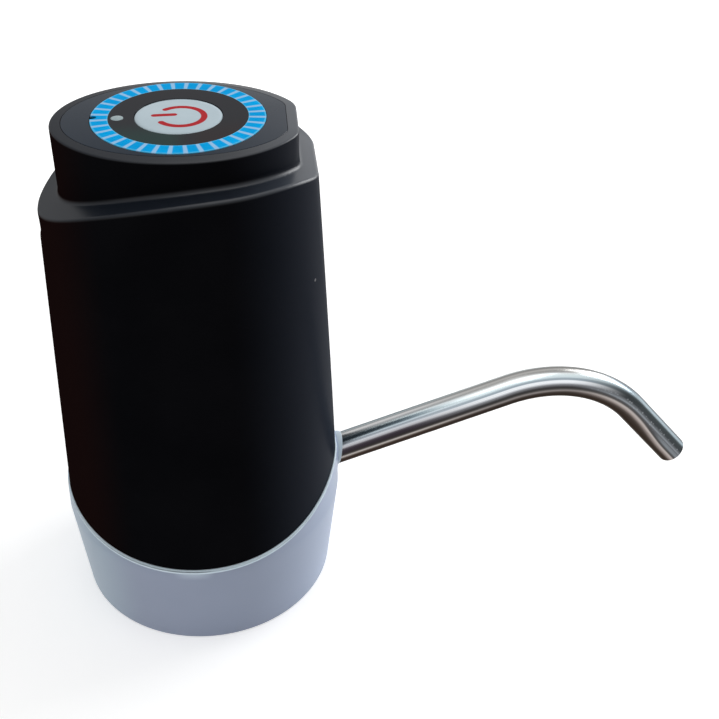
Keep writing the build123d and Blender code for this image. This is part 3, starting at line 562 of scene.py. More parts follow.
def cutPort(piece):
    # a slot with round ends, pushed through the wall on the side away from the spout
    s = SimpleNamespace(**shellSizes)
    turn = fullTurn(64)
    half = s.portTall / 2
    y = half * np.cos(turn) + np.sign(np.cos(turn)) * (s.portWidth / 2 - half)
    z = half * np.sin(turn) + s.portLevel
    ends = [np.stack([np.full_like(y, x), y, z], -1) for x in (-form.lowX - 2, -form.lowX + 9)]
    faces = gridFaces(2, len(turn), closeColumns=True)[:, ::-1].tolist()
    faces += [list(range(len(turn))), list(range(2 * len(turn) - 1, len(turn) - 1, -1))]
    mesh = bpy.data.meshes.new("slot")
    mesh.from_pydata((np.concatenate(ends) / 1000).tolist(), [], faces)
    slot = addObject("slot", mesh)
    cut = piece.modifiers.new("port", "BOOLEAN")
    cut.operation = "DIFFERENCE"
    cut.object = slot
    view = bpy.context.evaluated_depsgraph_get()
    whole = bpy.data.meshes.new_from_object(
        piece.evaluated_get(view), preserve_all_data_layers=True, depsgraph=view)
    piece.modifiers.clear()
    piece.data = whole
    whole.set_sharp_from_angle(angle=math.radians(50))
    markFacing(whole)
    # the slot's edge counts as wall, so that the finish of upward faces doesn't spread from its lower side
    places = np.zeros(len(whole.vertices) * 3, np.float32)
    facing = np.zeros(len(whole.vertices) * 3, np.float32)
    layer = whole.attributes["facing"]
    whole.vertices.foreach_get("co", places)
    layer.data.foreach_get("vector", facing)
    places, facing = places.reshape(-1, 3) * 1000, facing.reshape(-1, 3)
    x, y, z = places.T
    onEdge = (x < 0) & (np.abs(y) < s.portWidth / 2 + s.portNear)
    facing[onEdge & (np.abs(z - s.portLevel) < half + s.portNear)] = (-1, 0, 0)
    layer.data.foreach_set("vector", facing.ravel())
    bpy.data.objects.remove(slot)


blackShell = mouldedPlastic("blackShell", shellFinish)
cutPort(putMesh("outerShell", [makeOuterShell()], "housing", blackShell, ["outer_shell"]))

# top panel
# the panel has its own painted sheen: its faces that look up are paler towards the spout
panelFinish = dict(shellFinish, paintedSheenAway=(0.008, 0.017, 0.031), paintedSheenSpout=(0.022, 0.030, 0.045),
                   polishSpout=0.55, polishAway=0.36, coatRough=0.26, dust=0.006)
panelSizes = {"inset": 2.38, "round": 0.2, "wellFloor": 127.5, "hole": 9.35}


def makeTopPanel():
    p = SimpleNamespace(**panelSizes)
    outer = capReach(p.inset)
    corners = level((outer, form.panelBottom), (outer, crownHeight(outer)),
                    (form.dialWell, form.panelHeight), (form.dialWell, p.wellFloor),
                    (p.hole, p.wellFloor), (p.hole, form.panelBottom))
    return ringSurface(turns, roundedProfile(corners, [0.1, p.round, 0.06, 0, 0.1, 0.1], hold=0.08))


blackPanel = mouldedPlastic("blackPanel", panelFinish)
putMesh("topPanel", [makeTopPanel()], "housing", blackPanel, ["top_panel"])

# dial: printed film with a blue ring, pale dashes and a small notch
dialSizes = {"reach": 18.43, "hole": 9.35, "low": 127.5, "top": 128.0, "round": 0.1,
             "notch": 0.75, "notchDepth": 0.6, "notchTurn": 177.0, "outerRing": 16.4, "innerRing": 13.0}
dialPrint = {
    # brown and green: painted reflections on the front of the black film
    "black": (0.011, 0.012, 0.017), "paintedBrownReflection": (0.016, 0.010, 0.012), "paintedGreenReflection": (0.006, 0.030, 0.028),
    "blue": (0.001, 0.44, 0.94), "deep": (0.001, 0.36, 0.80), "rim": (0.09, 0.56, 0.92),
    "dash": (0.34, 0.60, 0.88), "dashCount": 36, "dashWidth": 2.9, "firstDash": 2.6,
    "ringInner": 14.75, "ringEdge": 0.22, "soft": 0.04,
    "rough": 0.12, "gloss": 0.26, "ringGloss": 0.04,
}


def makeDial():
    d = SimpleNamespace(**dialSizes)
    # the notch has a round bottom: the near side, along each ray, of a circle a little inside the edge
    away = (turns - math.radians(d.notchTurn) + math.pi) % (2 * math.pi) - math.pi
    middle = d.reach - d.notchDepth
    bite = d.notch ** 2 - (middle * np.sin(away)) ** 2
    bitten = (bite > 0) & (np.abs(away) < 1)
    outer = np.where(bitten, middle * np.cos(away) - np.sqrt(np.maximum(bite, 0)), d.reach)
    corners = level((outer, d.low), (outer, d.top),
                    (d.outerRing, d.top), (d.innerRing, d.top),
                    (d.hole, d.top), (d.hole, d.low))
    return ringSurface(turns, roundedProfile(corners, [0, d.round, 0, 0, d.round, 0], steps=3, hold=0.05))


def makeDialFilm(look):
    material, tree, shader = newTree("dialFilm")
    vector = objectVector(tree)
    x, y = splitVector(vector)[:2]
    reach = distance(x, y)
    soft, edge = look["soft"] / 1000, look["ringEdge"] / 1000
    inner, outer = look["ringInner"] / 1000, dialSizes["reach"] / 1000
    onRing = smoothStep(reach, inner - soft, inner + soft)
    # lighter line along both edges of the ring
    nearInner = smoothStep(reach, inner + edge * 1.3, inner + edge * 0.4)
    nearOuter = smoothStep(reach, outer - edge * 1.8, outer - edge * 0.8)
    onEdge = highest(nearInner, nearOuter)
    # dashes: the angle counted in dash steps, its distance to the nearest whole number
    angle = minus(calc("ARCTAN2", y, x), math.radians(look["firstDash"]))
    step = times(angle, look["dashCount"] / (2 * math.pi))
    away = calc("ABSOLUTE", minus(step, calc("ROUND", step)))
    half = look["dashWidth"] / 2 * look["dashCount"] / 360
    onDash = smoothStep(away, half * 1.3, half * 0.7)
    grain = useGroup(mouldGrain, {"Vector": vector, "Grain Size": 900.0, "Tone Size": 110.0})
    ring = mixColour(grain["Tone"], look["blue"], look["deep"])
    ring = mixColour(onEdge, ring, look["rim"])
    ring = mixColour(onDash, ring, look["dash"])
    # painted reflections: the black film turns brown at the front right and green at the front left
    front = smoothStep(y, -0.001, -0.011)
    film = look["black"]
    for paintedTint, first, last in (("paintedBrownReflection", 0.001, 0.005), ("paintedGreenReflection", 0.002, -0.003)):
        film = mixColour(times(front, smoothStep(x, first, last)), film, look[paintedTint])
    fill(shader, {
        "Base Color": mixColour(onRing, film, ring), "Specular IOR Level": 0.0, "Coat Roughness": 0.08,
        "Coat Weight": between(onRing, look["gloss"], look["ringGloss"]),
        "Roughness": plus(times(grain["Tone"], 0.05), look["rough"]),
        "Normal": bump(grain["Tone"], 0.08, "film")})
    return material


dialFilm = makeDialFilm(dialPrint)
putMesh("dialDisc", [makeDial()], "housing", dialFilm, ["dial_label"])


# button: white dome with the usual on-off sign
def boxSurface(low, high, edge=0.1):
    # each side of the box is a grid; every point is pulled to the edge's radius from the inner box,
    # which is the box less that radius all round. Points that two sides share are kept once.
    low, high = np.array(low, float), np.array(high, float)
    half, inner = (high - low) / 2, (high - low) / 2 - edge
    bend = edge * np.array([1, 0.41, 0])
    steps = [np.concatenate([-i - bend, (i + bend)[::-1]]) for i in inner]
    points, faces, count = [], [], 0
    for axis in range(3):
        second, third = (axis + 1) % 3, (axis + 2) % 3
        a, b = np.meshgrid(steps[second], steps[third], indexing="ij")
        for side in (-1, 1):
            place = np.zeros((*a.shape, 3))
            place[..., axis], place[..., second], place[..., third] = side * half[axis], a, b
            core = np.clip(place, -inner, inner)
            away = place - core
            points.append(core + away * edge / np.linalg.norm(away, axis=-1, keepdims=True))
            quads = gridFaces(*a.shape, start=count)
            faces.append(quads if side > 0 else quads[:, ::-1])
            count += a.size
    points = np.concatenate([side.reshape(-1, 3) for side in points])
    kept, index = np.unique(np.round(points, 5), axis=0, return_inverse=True)
    return kept + (low + high) / 2, index.ravel()[np.concatenate(faces)]


buttonSizes = {"reach": 9.28, "top": 128.1, "dome": 0.14, "round": 0.35, "low": 125.8, "edge": 0.1,
               "flange": 10.1, "flangeLow": 124.4, "stem": 2.4, "stemLow": 109.0,
               "rib": 4.6, "ribWidth": 0.8, "ribLow": 121.4}
buttonSign = {
    "white": (0.52, 0.63, 0.69), "shade": (0.47, 0.58, 0.64), "red": (0.48, 0.022, 0.030),
    "centreX": 0.42, "centreY": -0.48, "ring": 4.92, "line": 1.35, "opening": 42.0, "openingTurn": 9.0,
    "barFrom": -5.1, "barTo": -0.95, "barY": 0.5, "barWidth": 1.35, "soft": 0.08,
    "rough": 0.14, "gloss": 0.5, "signGloss": 0.12,
}


def makeButton():
    b = SimpleNamespace(**buttonSizes)
    # the dome's height falls with the square of the reach
    reach = np.linspace(0, b.reach - b.round * 0.85, 14)
    dome = [(r, b.top - b.dome * (r / b.reach) ** 2) for r in reach]
    brim = dome[-1][1]
    turn = np.linspace(math.radians(80), 0, 8)
    rim = [(b.reach - b.round * (1 - math.cos(t)), brim - b.round * (1 - math.sin(t))) for t in turn]
    edge = b.edge
    rest = [(b.reach, brim - b.round - 2 * edge), (b.reach, b.low + edge), (b.reach, b.low),
            (b.flange - edge, b.low), (b.flange, b.low - edge), (b.flange, b.flangeLow + edge),
            (b.flange - edge, b.flangeLow), (b.stem, b.flangeLow),
            (b.stem, b.stemLow + 2 * edge), (b.stem - 2 * edge, b.stemLow), (0, b.stemLow)]
    line = np.array(dome + rim + rest)[::-1]
    half = b.ribWidth / 2
    ribs = [boxSurface((-b.rib, -half, b.ribLow), (b.rib, half, b.flangeLow)),
            boxSurface((-half, -b.rib, b.ribLow), (half, b.rib, b.flangeLow))]
    return [latheSurface(line)] + ribs


def softEdge(away, half):
    # 1 within half a line's width, with a narrow soft edge
    soft = buttonSign["soft"] / 1000
    return smoothStep(away, half + soft, half - soft)


def makeButtonGloss(look):
    material, tree, shader = newTree("buttonGloss")
    vector = objectVector(tree)
    x, y, z = splitVector(vector)
    # turned so that the ring's opening faces -X and is the same above and below
    moved = addNode("Mapping", {
        "Vector": vector, "Location": (-look["centreX"] / 1000, -look["centreY"] / 1000, 0)})
    turned = addNode("Mapping", {
        "Vector": moved[0], "Rotation": (0, 0, math.radians(look["openingTurn"]))})
    ringX, ringY = splitVector(turned[0])[:2]
    sideways = calc("ABSOLUTE", ringY)
    ring, half = look["ring"] / 1000, look["line"] / 2000
    onRing = softEdge(calc("ABSOLUTE", minus(distance(ringX, ringY), ring)), half)
    angle = math.radians(look["opening"])
    beside = plus(times(ringX, math.tan(angle)), sideways)
    onRing = times(onRing, calc("GREATER_THAN", beside, 0.0))
    # the ring's ends are round
    endX = plus(ringX, ring * math.cos(angle))
    endY = minus(sideways, ring * math.sin(angle))
    onEnds = softEdge(distance(endX, endY), half)
    # the bar is every point within half its width of a short line
    nearest = calc("MINIMUM", highest(x, look["barFrom"] / 1000), look["barTo"] / 1000)
    fromBar = distance(minus(x, nearest), minus(y, look["barY"] / 1000))
    onBar = softEdge(fromBar, look["barWidth"] / 2000)
    onTop = calc("GREATER_THAN", z, (buttonSizes["top"] - 1) / 1000)
    sign = times(highest(onRing, onEnds, onBar), onTop)
    grain = useGroup(mouldGrain, {"Vector": vector, "Grain Size": 700.0, "Tone Size": 120.0})
    white = mixColour(grain["Tone"], look["white"], look["shade"])
    fill(shader, {
        "Base Color": mixColour(sign, white, look["red"]), "Specular IOR Level": 0.0,
        "Coat Weight": between(sign, look["gloss"], look["signGloss"]), "Coat Roughness": 0.05,
        "Roughness": plus(times(grain["Tone"], 0.08), look["rough"]),
        "Normal": bump(sign, 0.4, "sign")})
    return material


buttonGloss = makeButtonGloss(buttonSign)
putMesh("pushButton", makeButton(), "button", buttonGloss, ["power_button"])

# lamp window in the dial
windowSizes = {"x": -12.8, "reach": 1.32, "low": 107.6, "top": 128.0, "bulge": 0.07,
               "collar": 1.9, "collarLow": 124.6, "collarTop": 125.8}
windowFinish = {"colour": (0.33, 0.42, 0.44), "shade": (0.28, 0.37, 0.39), "rough": 0.25, "roughSpread": 0.1,
                "grain": 1500.0, "bump": 0.1, "glow": 0.3}


def makeLampWindow():
    w = SimpleNamespace(**windowSizes)
    crown = [(r, w.top + w.bulge * (1 - (r / w.reach) ** 2)) for r in np.linspace(0, w.reach, 7)]
    rest = [(w.reach, w.top - 0.1), (w.reach, w.collarTop), (w.collar, w.collarTop),
            (w.collar, w.collarLow), (w.reach, w.collarLow), (w.reach, w.low + 0.1),
            (w.reach - 0.1, w.low), (0, w.low)]
    return latheSurface(np.array(crown + rest)[::-1], steps=64, centre=(w.x, 0))


milkyWindow = mouldedPlastic("milkyWindow", windowFinish)
putMesh("lampWindow", [makeLampWindow()], "housing", milkyWindow, ["light_pipe"])
print("top made")

# white base
baseFinish = {
    "colour": (0.315, 0.365, 0.49), "shade": (0.285, 0.335, 0.455), "rough": 0.38, "roughSpread": 0.1,
    # painted light: the base is lighter towards -X and paler and bluer towards +X
    "paintedLightLeft": (0.325, 0.42, 0.52), "paintedLightRight": (0.43, 0.52, 0.70), "sideX": 0.034, "lip": (0.76, 0.90, 1.0),
    # the lip colour above is a painted highlight along the joint
    "grain": 1800.0, "toneSize": 28.0, "bump": 0.22, "specular": 0.5, "glow": 0.06,
    "dust": 0.004, "dustColour": (0.12, 0.12, 0.13), "dustSpacing": 200.0,
}
baseSizes = {
    "foot": 33.0, "footRound": 0.6, "wall": 2.4, "lip": 0.4, "gap": 0.1, "lipRound": 0.3, "lipTall": 1.0,
    "tongueOut": 2.25, "tongueIn": 3.75, "tongueRise": 3.0, "deckTop": 22.4, "deckLow": 20.4, "deckHole": 4.08,
    "entry": 27.9, "grip": 27.6, "entryHeight": 9.0, "skirt": 29.5,
    "ribCount": 12, "ribWidth": 1.2, "ribReach": 31.2,
    "padX": 35.1, "padHeight": 31.42, "padReach": 5.65, "padBlend": 0.9,
    "lowSteps": 11, "wallSteps": 22, "tongueRound": 0.3, "rimRound": 0.3, "entryRound": 0.4,
}


def makeBase():
    b = SimpleNamespace(**baseSizes)
    lipTop = meet(lambda x: jointHeight(x, -b.gap), -b.lip)
    seat = meet(lambda x: jointHeight(x, -b.gap), b.tongueOut)
    tongueOut = meet(lambda x: jointHeight(x, b.tongueRise), b.tongueOut)
    tongueIn = meet(lambda x: jointHeight(x, b.tongueRise), b.tongueIn)
    innerFoot = formReach(form.lowHeight, b.tongueIn)
    foot, waist = level((b.foot, 0), (formReach(form.lowHeight, -b.lip), form.lowHeight))
    lowWalls = [foot * (1 - share) + waist * share for share in np.linspace(0, 1, b.lowSteps + 1)[1:]]
    walls = lowWalls + wallBetween(waist, lipTop, -b.lip, b.wallSteps)
    bore = level((innerFoot, form.lowHeight), (innerFoot - 0.3, b.deckTop), (b.deckHole, b.deckTop),
                 (b.deckHole, b.deckLow), (b.grip, b.deckLow), (b.grip, b.entryHeight + 0.3),
                 (b.entry, b.entryHeight))
    rims = level((b.entry, 0), (b.skirt, 0), (b.skirt, b.deckLow),
                 (b.foot - b.wall + 1.6, b.deckLow), (b.foot - b.wall, 0))
    corners = [foot, *walls, lipTop, seat, tongueOut, tongueIn, *bore, *rims]
    radii = [b.footRound] + [0] * len(walls) + [b.lipRound, 0] + [b.tongueRound] * 2
    radii += [0] * len(bore) + [b.entryRound] + [b.rimRound] * 4
    points, faces = ringSurface(turns, roundedProfile(corners, radii))
    # the seal's pad: outer points near its middle move out to one upright plane, and blend at its rim
    away = np.hypot(points[..., 1], points[..., 2] - b.padHeight)
    share = np.clip((b.padReach - away) / b.padBlend, 0, 1)
    share = share * share * (3 - 2 * share) * (points[..., 0] > form.lowX - 1.2)
    points[..., 0] += np.maximum(b.padX - points[..., 0], 0) * share
    # 1 on the thin lip along the joint, which gets a painted highlight, 0 below it
    below = jointHeight(points[..., 0]) - points[..., 2]
    lipHighlightMask = np.clip((b.lipTall - below) / 0.15, 0, 1) * (np.hypot(points[..., 0], points[..., 1]) > 33.2)
    lip = np.stack([lipHighlightMask.ravel(), 0 * lipHighlightMask.ravel()], -1)
    ribs = []
    for index in range(b.ribCount):
        turn = math.radians((index + 0.5) * 360 / b.ribCount)
        half = b.ribWidth / 2
        rib, quads = boxSurface((b.skirt - 0.3, -half, 0.25), (b.ribReach, half, b.deckLow + 0.2))
        ribs.append((rib @ np.array(Matrix.Rotation(turn, 3, "Z")).T, quads))
    return [(points, faces, lip)] + ribs


whiteBase = mouldedPlastic("whiteBase", baseFinish)
putMesh("baseCollar", makeBase(), "housing", whiteBase, ["base_collar"])

# seal round the spout
sealFinish = {"colour": (0.60, 0.70, 0.78), "shade": (0.54, 0.64, 0.72), "rough": 0.5, "roughSpread": 0.1,
              "grain": 1200.0, "bump": 0.15, "glow": 0.15}
sealSizes = {
    "reachLow": 4.25, "reachTop": 4.85, "thickLow": 0.15, "thickTop": 1.5, "tube": 4.03,
    # share of the way from the tube (0) to the rim (1), and distance in front of the pad
    "line": [(0, -3.0), (0, 0.6), (0.02, 1.0), (0.1, 1.2), (0.25, 1.25), (0.5, 1.22), (0.7, 1.1), (0.86, 0.85),
             (0.96, 0.5), (1.0, 0.15), (1.0, -0.05), (0.5, -0.1), (0.3, -1.0), (0.3, -3.0)],
}
spoutSizes = {"rootX": 34.8, "rootHeight": 31.2, "rise": 18.5, "drop": 48.0, "run": 71.8, "fall": 45.9,
              "bend": 35.0, "depth": 8.5, "reach": 4.0, "wall": 0.5, "rimRound": 0.2, "endRun": 0.3,
              "stepsAlong": 190, "stepsRound": 96}


def makeSeal():
    # across the ring the profile runs from the tube's skin to the rim; each inner point lies on the
    # tilted tube. The ring is widest and thickest above the tube and thins out below it.
    s, spout = SimpleNamespace(**sealSizes), SimpleNamespace(**spoutSizes)
    turn = fullTurn(120)[:, None]
    rise = math.radians(spout.rise)
    share, front = np.array(s.line).T[:, None, :]
    above = (1 + np.sin(turn)) / 2
    thick = s.thickLow + (s.thickTop - s.thickLow) * above
    reach = s.reachLow + (s.reachTop - s.reachLow) * above
    x = baseSizes["padX"] + np.where(front > 0, front * thick / front.max(), front)
    tubeY = s.tube * np.cos(turn)
    tubeZ = spout.rootHeight + (x - spout.rootX) * math.tan(rise)
    tubeZ = tubeZ + s.tube / math.cos(rise) * np.sin(turn)
    y = tubeY + (reach * np.cos(turn) - tubeY) * share
    z = tubeZ + (baseSizes["padHeight"] + reach * np.sin(turn) - tubeZ) * share
    points = np.stack([x, y, z], -1)
    return points, closedFaces(points)[:, ::-1]


softSeal = mouldedPlastic("softSeal", sealFinish)
putMesh("spoutSeal", [makeSeal()], "housing", softSeal, ["spout_seal"])

# bent steel spout
spoutFinish = {
    # painted reflections across the tube, from its upper line (0) to its lower line (1): place and colour of
    # each painted band
    "root": [
        (0, 0.62, 0.62, 0.62), (0.035, 0.38, 0.39, 0.4), (0.07, 0.3, 0.32, 0.33), (0.1, 0.42, 0.48, 0.5),
        (0.128, 0.14, 0.19, 0.22), (0.17, 0.1, 0.14, 0.165), (0.2, 0.5, 0.58, 0.63),
        (0.233, 0.26, 0.29, 0.33), (0.268, 0.54, 0.57, 0.61), (0.3, 0.5, 0.5, 0.53),
        (0.335, 0.11, 0.1, 0.115), (0.37, 0.035, 0.028, 0.036), (0.435, 0.024, 0.02, 0.022),
        (0.467, 0.05, 0.045, 0.042), (0.5, 0.4, 0.37, 0.35), (0.535, 0.14, 0.115, 0.1),
        (0.57, 0.045, 0.032, 0.027), (1, 0.035, 0.027, 0.023)],
    "straight": [
        (0, 0.44, 0.43, 0.42), (0.035, 0.34, 0.34, 0.33), (0.07, 0.24, 0.24, 0.235),
        (0.1, 0.36, 0.365, 0.365), (0.13, 0.62, 0.66, 0.67), (0.17, 0.6, 0.68, 0.7),
        (0.205, 0.66, 0.76, 0.8), (0.23, 0.36, 0.43, 0.47), (0.262, 0.3, 0.36, 0.41),
        (0.292, 0.92, 0.95, 0.98), (0.33, 0.76, 0.79, 0.83), (0.37, 0.2, 0.205, 0.22),
        (0.41, 0.055, 0.054, 0.057), (0.445, 0.028, 0.026, 0.026), (0.472, 0.07, 0.066, 0.063),
        (0.505, 0.2, 0.18, 0.175), (0.54, 0.085, 0.072, 0.066), (0.575, 0.038, 0.03, 0.026),
        (1, 0.03, 0.024, 0.021)],
    "end": [
        (0, 0.19, 0.22, 0.25), (0.07, 0.21, 0.25, 0.28), (0.135, 0.38, 0.46, 0.51),
        (0.17, 0.34, 0.4, 0.44), (0.205, 0.08, 0.1, 0.11), (0.24, 0.045, 0.052, 0.055),
        (0.33, 0.038, 0.043, 0.047), (0.37, 0.1, 0.107, 0.115), (0.405, 0.2, 0.22, 0.24),
        (0.44, 0.075, 0.075, 0.08), (0.47, 0.06, 0.057, 0.056), (0.505, 0.42, 0.38, 0.36),
        (0.545, 0.28, 0.24, 0.225), (0.575, 0.17, 0.14, 0.13), (0.605, 0.07, 0.057, 0.05),
        (0.65, 0.042, 0.032, 0.027), (1, 0.035, 0.026, 0.022)],
    "rootTo": 0.22, "straightFrom": 0.46, "bendFrom": 0.60, "bendTo": 0.76, "wander": 0.03, "slide": 0.085,
    "speck": (0.30, 0.32, 0.34), "edge": (0.45, 0.44, 0.43), "rough": 0.22, "roughSpread": 0.04,
}


def makeSpout():
    # a straight, an arc and a straight in the XZ plane; rings of the tube stand square to that line.
    # The outer skin runs from root to tip, turns over the rim and runs back as the bore.
    s = SimpleNamespace(**spoutSizes)
    rise, drop = math.radians(s.rise), math.radians(s.drop)
    turnAngle = rise + drop
    cut = s.bend * math.tan(turnAngle / 2)
    first = s.run + s.depth - cut
    arc = s.bend * turnAngle
    whole = first + arc + s.fall - cut
    start = np.array([s.rootX - s.depth * math.cos(rise), s.rootHeight - s.depth * math.sin(rise)])

    def lineAt(distance):
        onArc = np.clip((distance - first) / s.bend, 0, turnAngle)
        tangent = rise - onArc
        before = np.minimum(distance, first)
        after = np.maximum(distance - first - arc, 0)
        arcX = s.bend * (math.sin(rise) - np.sin(tangent))
        arcZ = s.bend * (np.cos(tangent) - math.cos(rise))
        x = start[0] + before * math.cos(rise) + arcX + after * math.cos(drop)
        z = start[1] + before * math.sin(rise) + arcZ - after * math.sin(drop)
        return x, z, tangent

    body = np.linspace(s.endRun, whole - s.endRun, s.stepsAlong)
    swell = np.linspace(0, math.pi / 2, 6)
    r, bore = s.rimRound, s.reach - s.wall
    out, back = r * np.sin(swell), r * np.cos(swell)
    rimOut = np.stack([whole - r + out, s.reach - r + back], -1)
    rimIn = np.stack([whole - r + back, bore + r - out], -1)
    rootOut = np.stack([r - out, s.reach - r + back], -1)[::-1]
    rootIn = np.stack([r - back, bore + r - out], -1)[::-1]
    outer = np.stack([body, np.full_like(body, s.reach)], -1)
    inner = np.stack([body[::-3], np.full_like(body[::-3], bore)], -1)
    place, reach = np.concatenate([rootOut, outer, rimOut, rimIn, inner, rootIn]).T[:, :, None]
    x, z, tangent = lineAt(place)
    turn = fullTurn(s.stepsRound)[None, :]
    side, lift = reach * np.sin(turn), reach * np.cos(turn)
    points = np.stack([x - lift * np.sin(tangent), side, z + lift * np.cos(tangent)], -1)
    uv = np.stack(np.broadcast_arrays(place / whole, 1 - np.abs(turn / math.pi - 1)), -1).reshape(-1, 2)
    return points, closedFaces(points), uv


def paintedReflectionRamp(across, paintedBands):
    ramp = newNode(across.id_data, "ValToRGB")
    fill(ramp, {0: across})
    stops = ramp.color_ramp.elements
    stops.remove(stops[1])
    stops[0].position = paintedBands[0][0]
    stops[0].color = (*paintedBands[0][1:], 1)
    for place, *colour in paintedBands[1:]:
        stops.new(place).color = (*colour, 1)
    return ramp.outputs[0]


def makeSteel(look):
    # u runs along the tube, v from its upper line (0) to its lower line (1), the same on both sides
    material, tree, shader = newTree("spoutSteel")
    uv = surfaceUv(tree)
    along, across = splitVector(uv)[:2]
    lines = useGroup(brushedLines, {"Vector": uv, "Across": 90.0, "Along": 1.4})
    across = plus(across, times(minus(lines["Bands"], 0.5), look["wander"]))
    toEnd = smoothStep(along, look["bendFrom"], look["bendTo"])
    toStraight = smoothStep(along, look["rootTo"], look["straightFrom"])
    # towards the tip the painted bands of the lower half slide down
    slide = times(smoothStep(along, 0.82, 0.95), smoothStep(across, 0.42, 0.50))
    slid = minus(across, times(slide, look["slide"]))
    # painted reflections: bands of light and dark across the tube, mostly bright along its upper side and dark
    # below
    root, straight = (paintedReflectionRamp(across, look[part]) for part in ("root", "straight"))
    colour = mixColour(toStraight, root, straight)
    colour = mixColour(toEnd, colour, paintedReflectionRamp(slid, look["end"]))
    # pale specks on the dark painted band near the end
    specks = useGroup(dustSpecks, {
        "Vector": objectVector(tree), "Spacing": 1500.0, "Share": 0.35, "Width": 0.34})
    near = times(smoothStep(across, 0.28, 0.36), smoothStep(across, 0.47, 0.42))
    near = times(times(near, toEnd), 0.6)
    colour = mixColour(times(specks["Mask"], near), colour, look["speck"])
    fine = smoothStep(lines["Lines"], 0.3, 0.7)
    brightness = plus(times(fine, 0.3), 0.85)
    fill(shader, {
        "Base Color": addNode("VectorMath", {0: colour, "Scale": brightness}, operation="SCALE")[0],
        "Roughness": plus(times(fine, look["roughSpread"]), look["rough"]), "Metallic": 1.0,
        "Specular Tint": (*look["edge"], 1), "Normal": bump(lines["Lines"], 0.05, "lines")})
    return material


spoutSteel = makeSteel(spoutFinish)
putMesh("spoutTube", [makeSpout()], "spout", spoutSteel, ["spout_tube"])
print("base and spout made")

# inner pieces: the CAD nodes stay, each with a finish of its own
plainPlastic = {"rough": 0.45, "roughSpread": 0.12, "grain": 1500.0, "bump": 0.2}
plainMetal = {"rough": 0.3, "roughSpread": 0.15, "across": 2500.0, "bump": 0.15}
innerPlastics = {
    "frameBlack": {"nodes": ["inner_frame"], "colour": (0.05, 0.05, 0.055), "shade": (0.07, 0.07, 0.075)},
    "switchBlack": {"nodes": ["tact_switch", "switch_plunger"],
                    "colour": (0.03, 0.03, 0.03), "shade": (0.05, 0.05, 0.05)},
    "pumpAcetal": {"nodes": ["pump_cover", "valve_plate", "pump_housing", "wobble_plate", "eccentric_hub"],
                   "colour": (0.68, 0.67, 0.62), "shade": (0.60, 0.59, 0.55), "glow": 0.1},
    "capNylon": {"nodes": ["motor_end_cap"], "colour": (0.78, 0.77, 0.72), "shade": (0.70, 0.69, 0.65)},
    "sealRubber": {"nodes": ["pump_diaphragm", "spout_o_rings"],
                   "colour": (0.02, 0.02, 0.02), "shade": (0.035, 0.035, 0.035), "rough": 0.6},
    "hoseSilicone": {"nodes": ["inlet_hose", "outlet_hose"],
                     "colour": (0.72, 0.74, 0.73), "shade": (0.66, 0.68, 0.68), "rough": 0.25, "clear": 0.4},
    "neckSilicone": {**sealFinish, "nodes": ["neck_seal"],
                     "colour": (0.70, 0.69, 0.64), "shade": (0.64, 0.63, 0.58)},
    "fittingWhite": {**baseFinish, "nodes": ["intake_nipple", "spout_elbow"], "dust": 0},
    "lampClear": {"nodes": ["status_lamp"],
                  "colour": (0.75, 0.77, 0.77), "shade": (0.7, 0.72, 0.72), "rough": 0.12, "clear": 0.5},
    "magnetFerrite": {"nodes": ["motor_magnets"], "colour": (0.06, 0.058, 0.056),
                      "shade": (0.09, 0.088, 0.085), "rough": 0.7, "bump": 0.4},
    "wireCover": {"nodes": ["motor_leads", "battery_leads"],
                  "colour": (0.45, 0.02, 0.02), "shade": (0.38, 0.015, 0.015)},
    "packageBlack": {"nodes": ["board_components"],
                     "colour": (0.04, 0.04, 0.045), "shade": (0.07, 0.07, 0.075)},
}
innerMetals = {
    "motorCan": {"nodes": ["motor_can"], "colour": (0.52, 0.52, 0.53), "shade": (0.6, 0.6, 0.62),
                 "rough": 0.32, "roughSpread": 0.2, "across": 1500.0, "along": 60.0, "bump": 0.2,
                 "turned": (0, math.pi / 2, 0)},
    "screwZinc": {"nodes": ["board_screws", "pump_screws", "frame_screws"], "colour": (0.56, 0.56, 0.58),
                  "shade": (0.66, 0.66, 0.68), "roughSpread": 0.2, "along": 900.0, "bump": 0.2},
    "socketNickel": {"nodes": ["usb_socket"], "colour": (0.62, 0.62, 0.63), "shade": (0.7, 0.7, 0.71),
                     "rough": 0.28, "along": 300.0},
    "rotorSteel": {"nodes": ["motor_rotor"], "colour": (0.35, 0.35, 0.36), "shade": (0.5, 0.5, 0.51),
                   "rough": 0.4, "roughSpread": 0.2, "along": 20.0, "bump": 0.5},
    "tagBrass": {"nodes": ["motor_terminals"], "colour": (0.62, 0.44, 0.16), "shade": (0.7, 0.52, 0.22),
                 "across": 2000.0, "along": 400.0},
    "tabNickel": {"nodes": ["battery_tabs"], "colour": (0.62, 0.61, 0.58), "shade": (0.68, 0.67, 0.64),
                  "rough": 0.25, "across": 2000.0, "along": 200.0},
}


def dress(nodeNames, material):
    for name in nodeNames:
        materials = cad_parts[name].data.materials
        materials.clear()
        materials.append(material)


def makeBoardGreen():
    # solder mask with fine copper tracks that show through as a paler green
    material, tree, shader = newTree("boardGreen")
    tracks = addNode("TexBrick", {
        "Vector": objectVector(tree), "Color1": (0.010, 0.12, 0.045, 1), "Color2": (0.012, 0.14, 0.05, 1),
        "Mortar": (0.03, 0.24, 0.09, 1), "Scale": 160.0, "Mortar Size": 0.03})
    fill(shader, {
        "Base Color": tracks["Color"], "Roughness": 0.25, "Normal": bump(tracks["Fac"], 0.2, "tracks")})
    return material


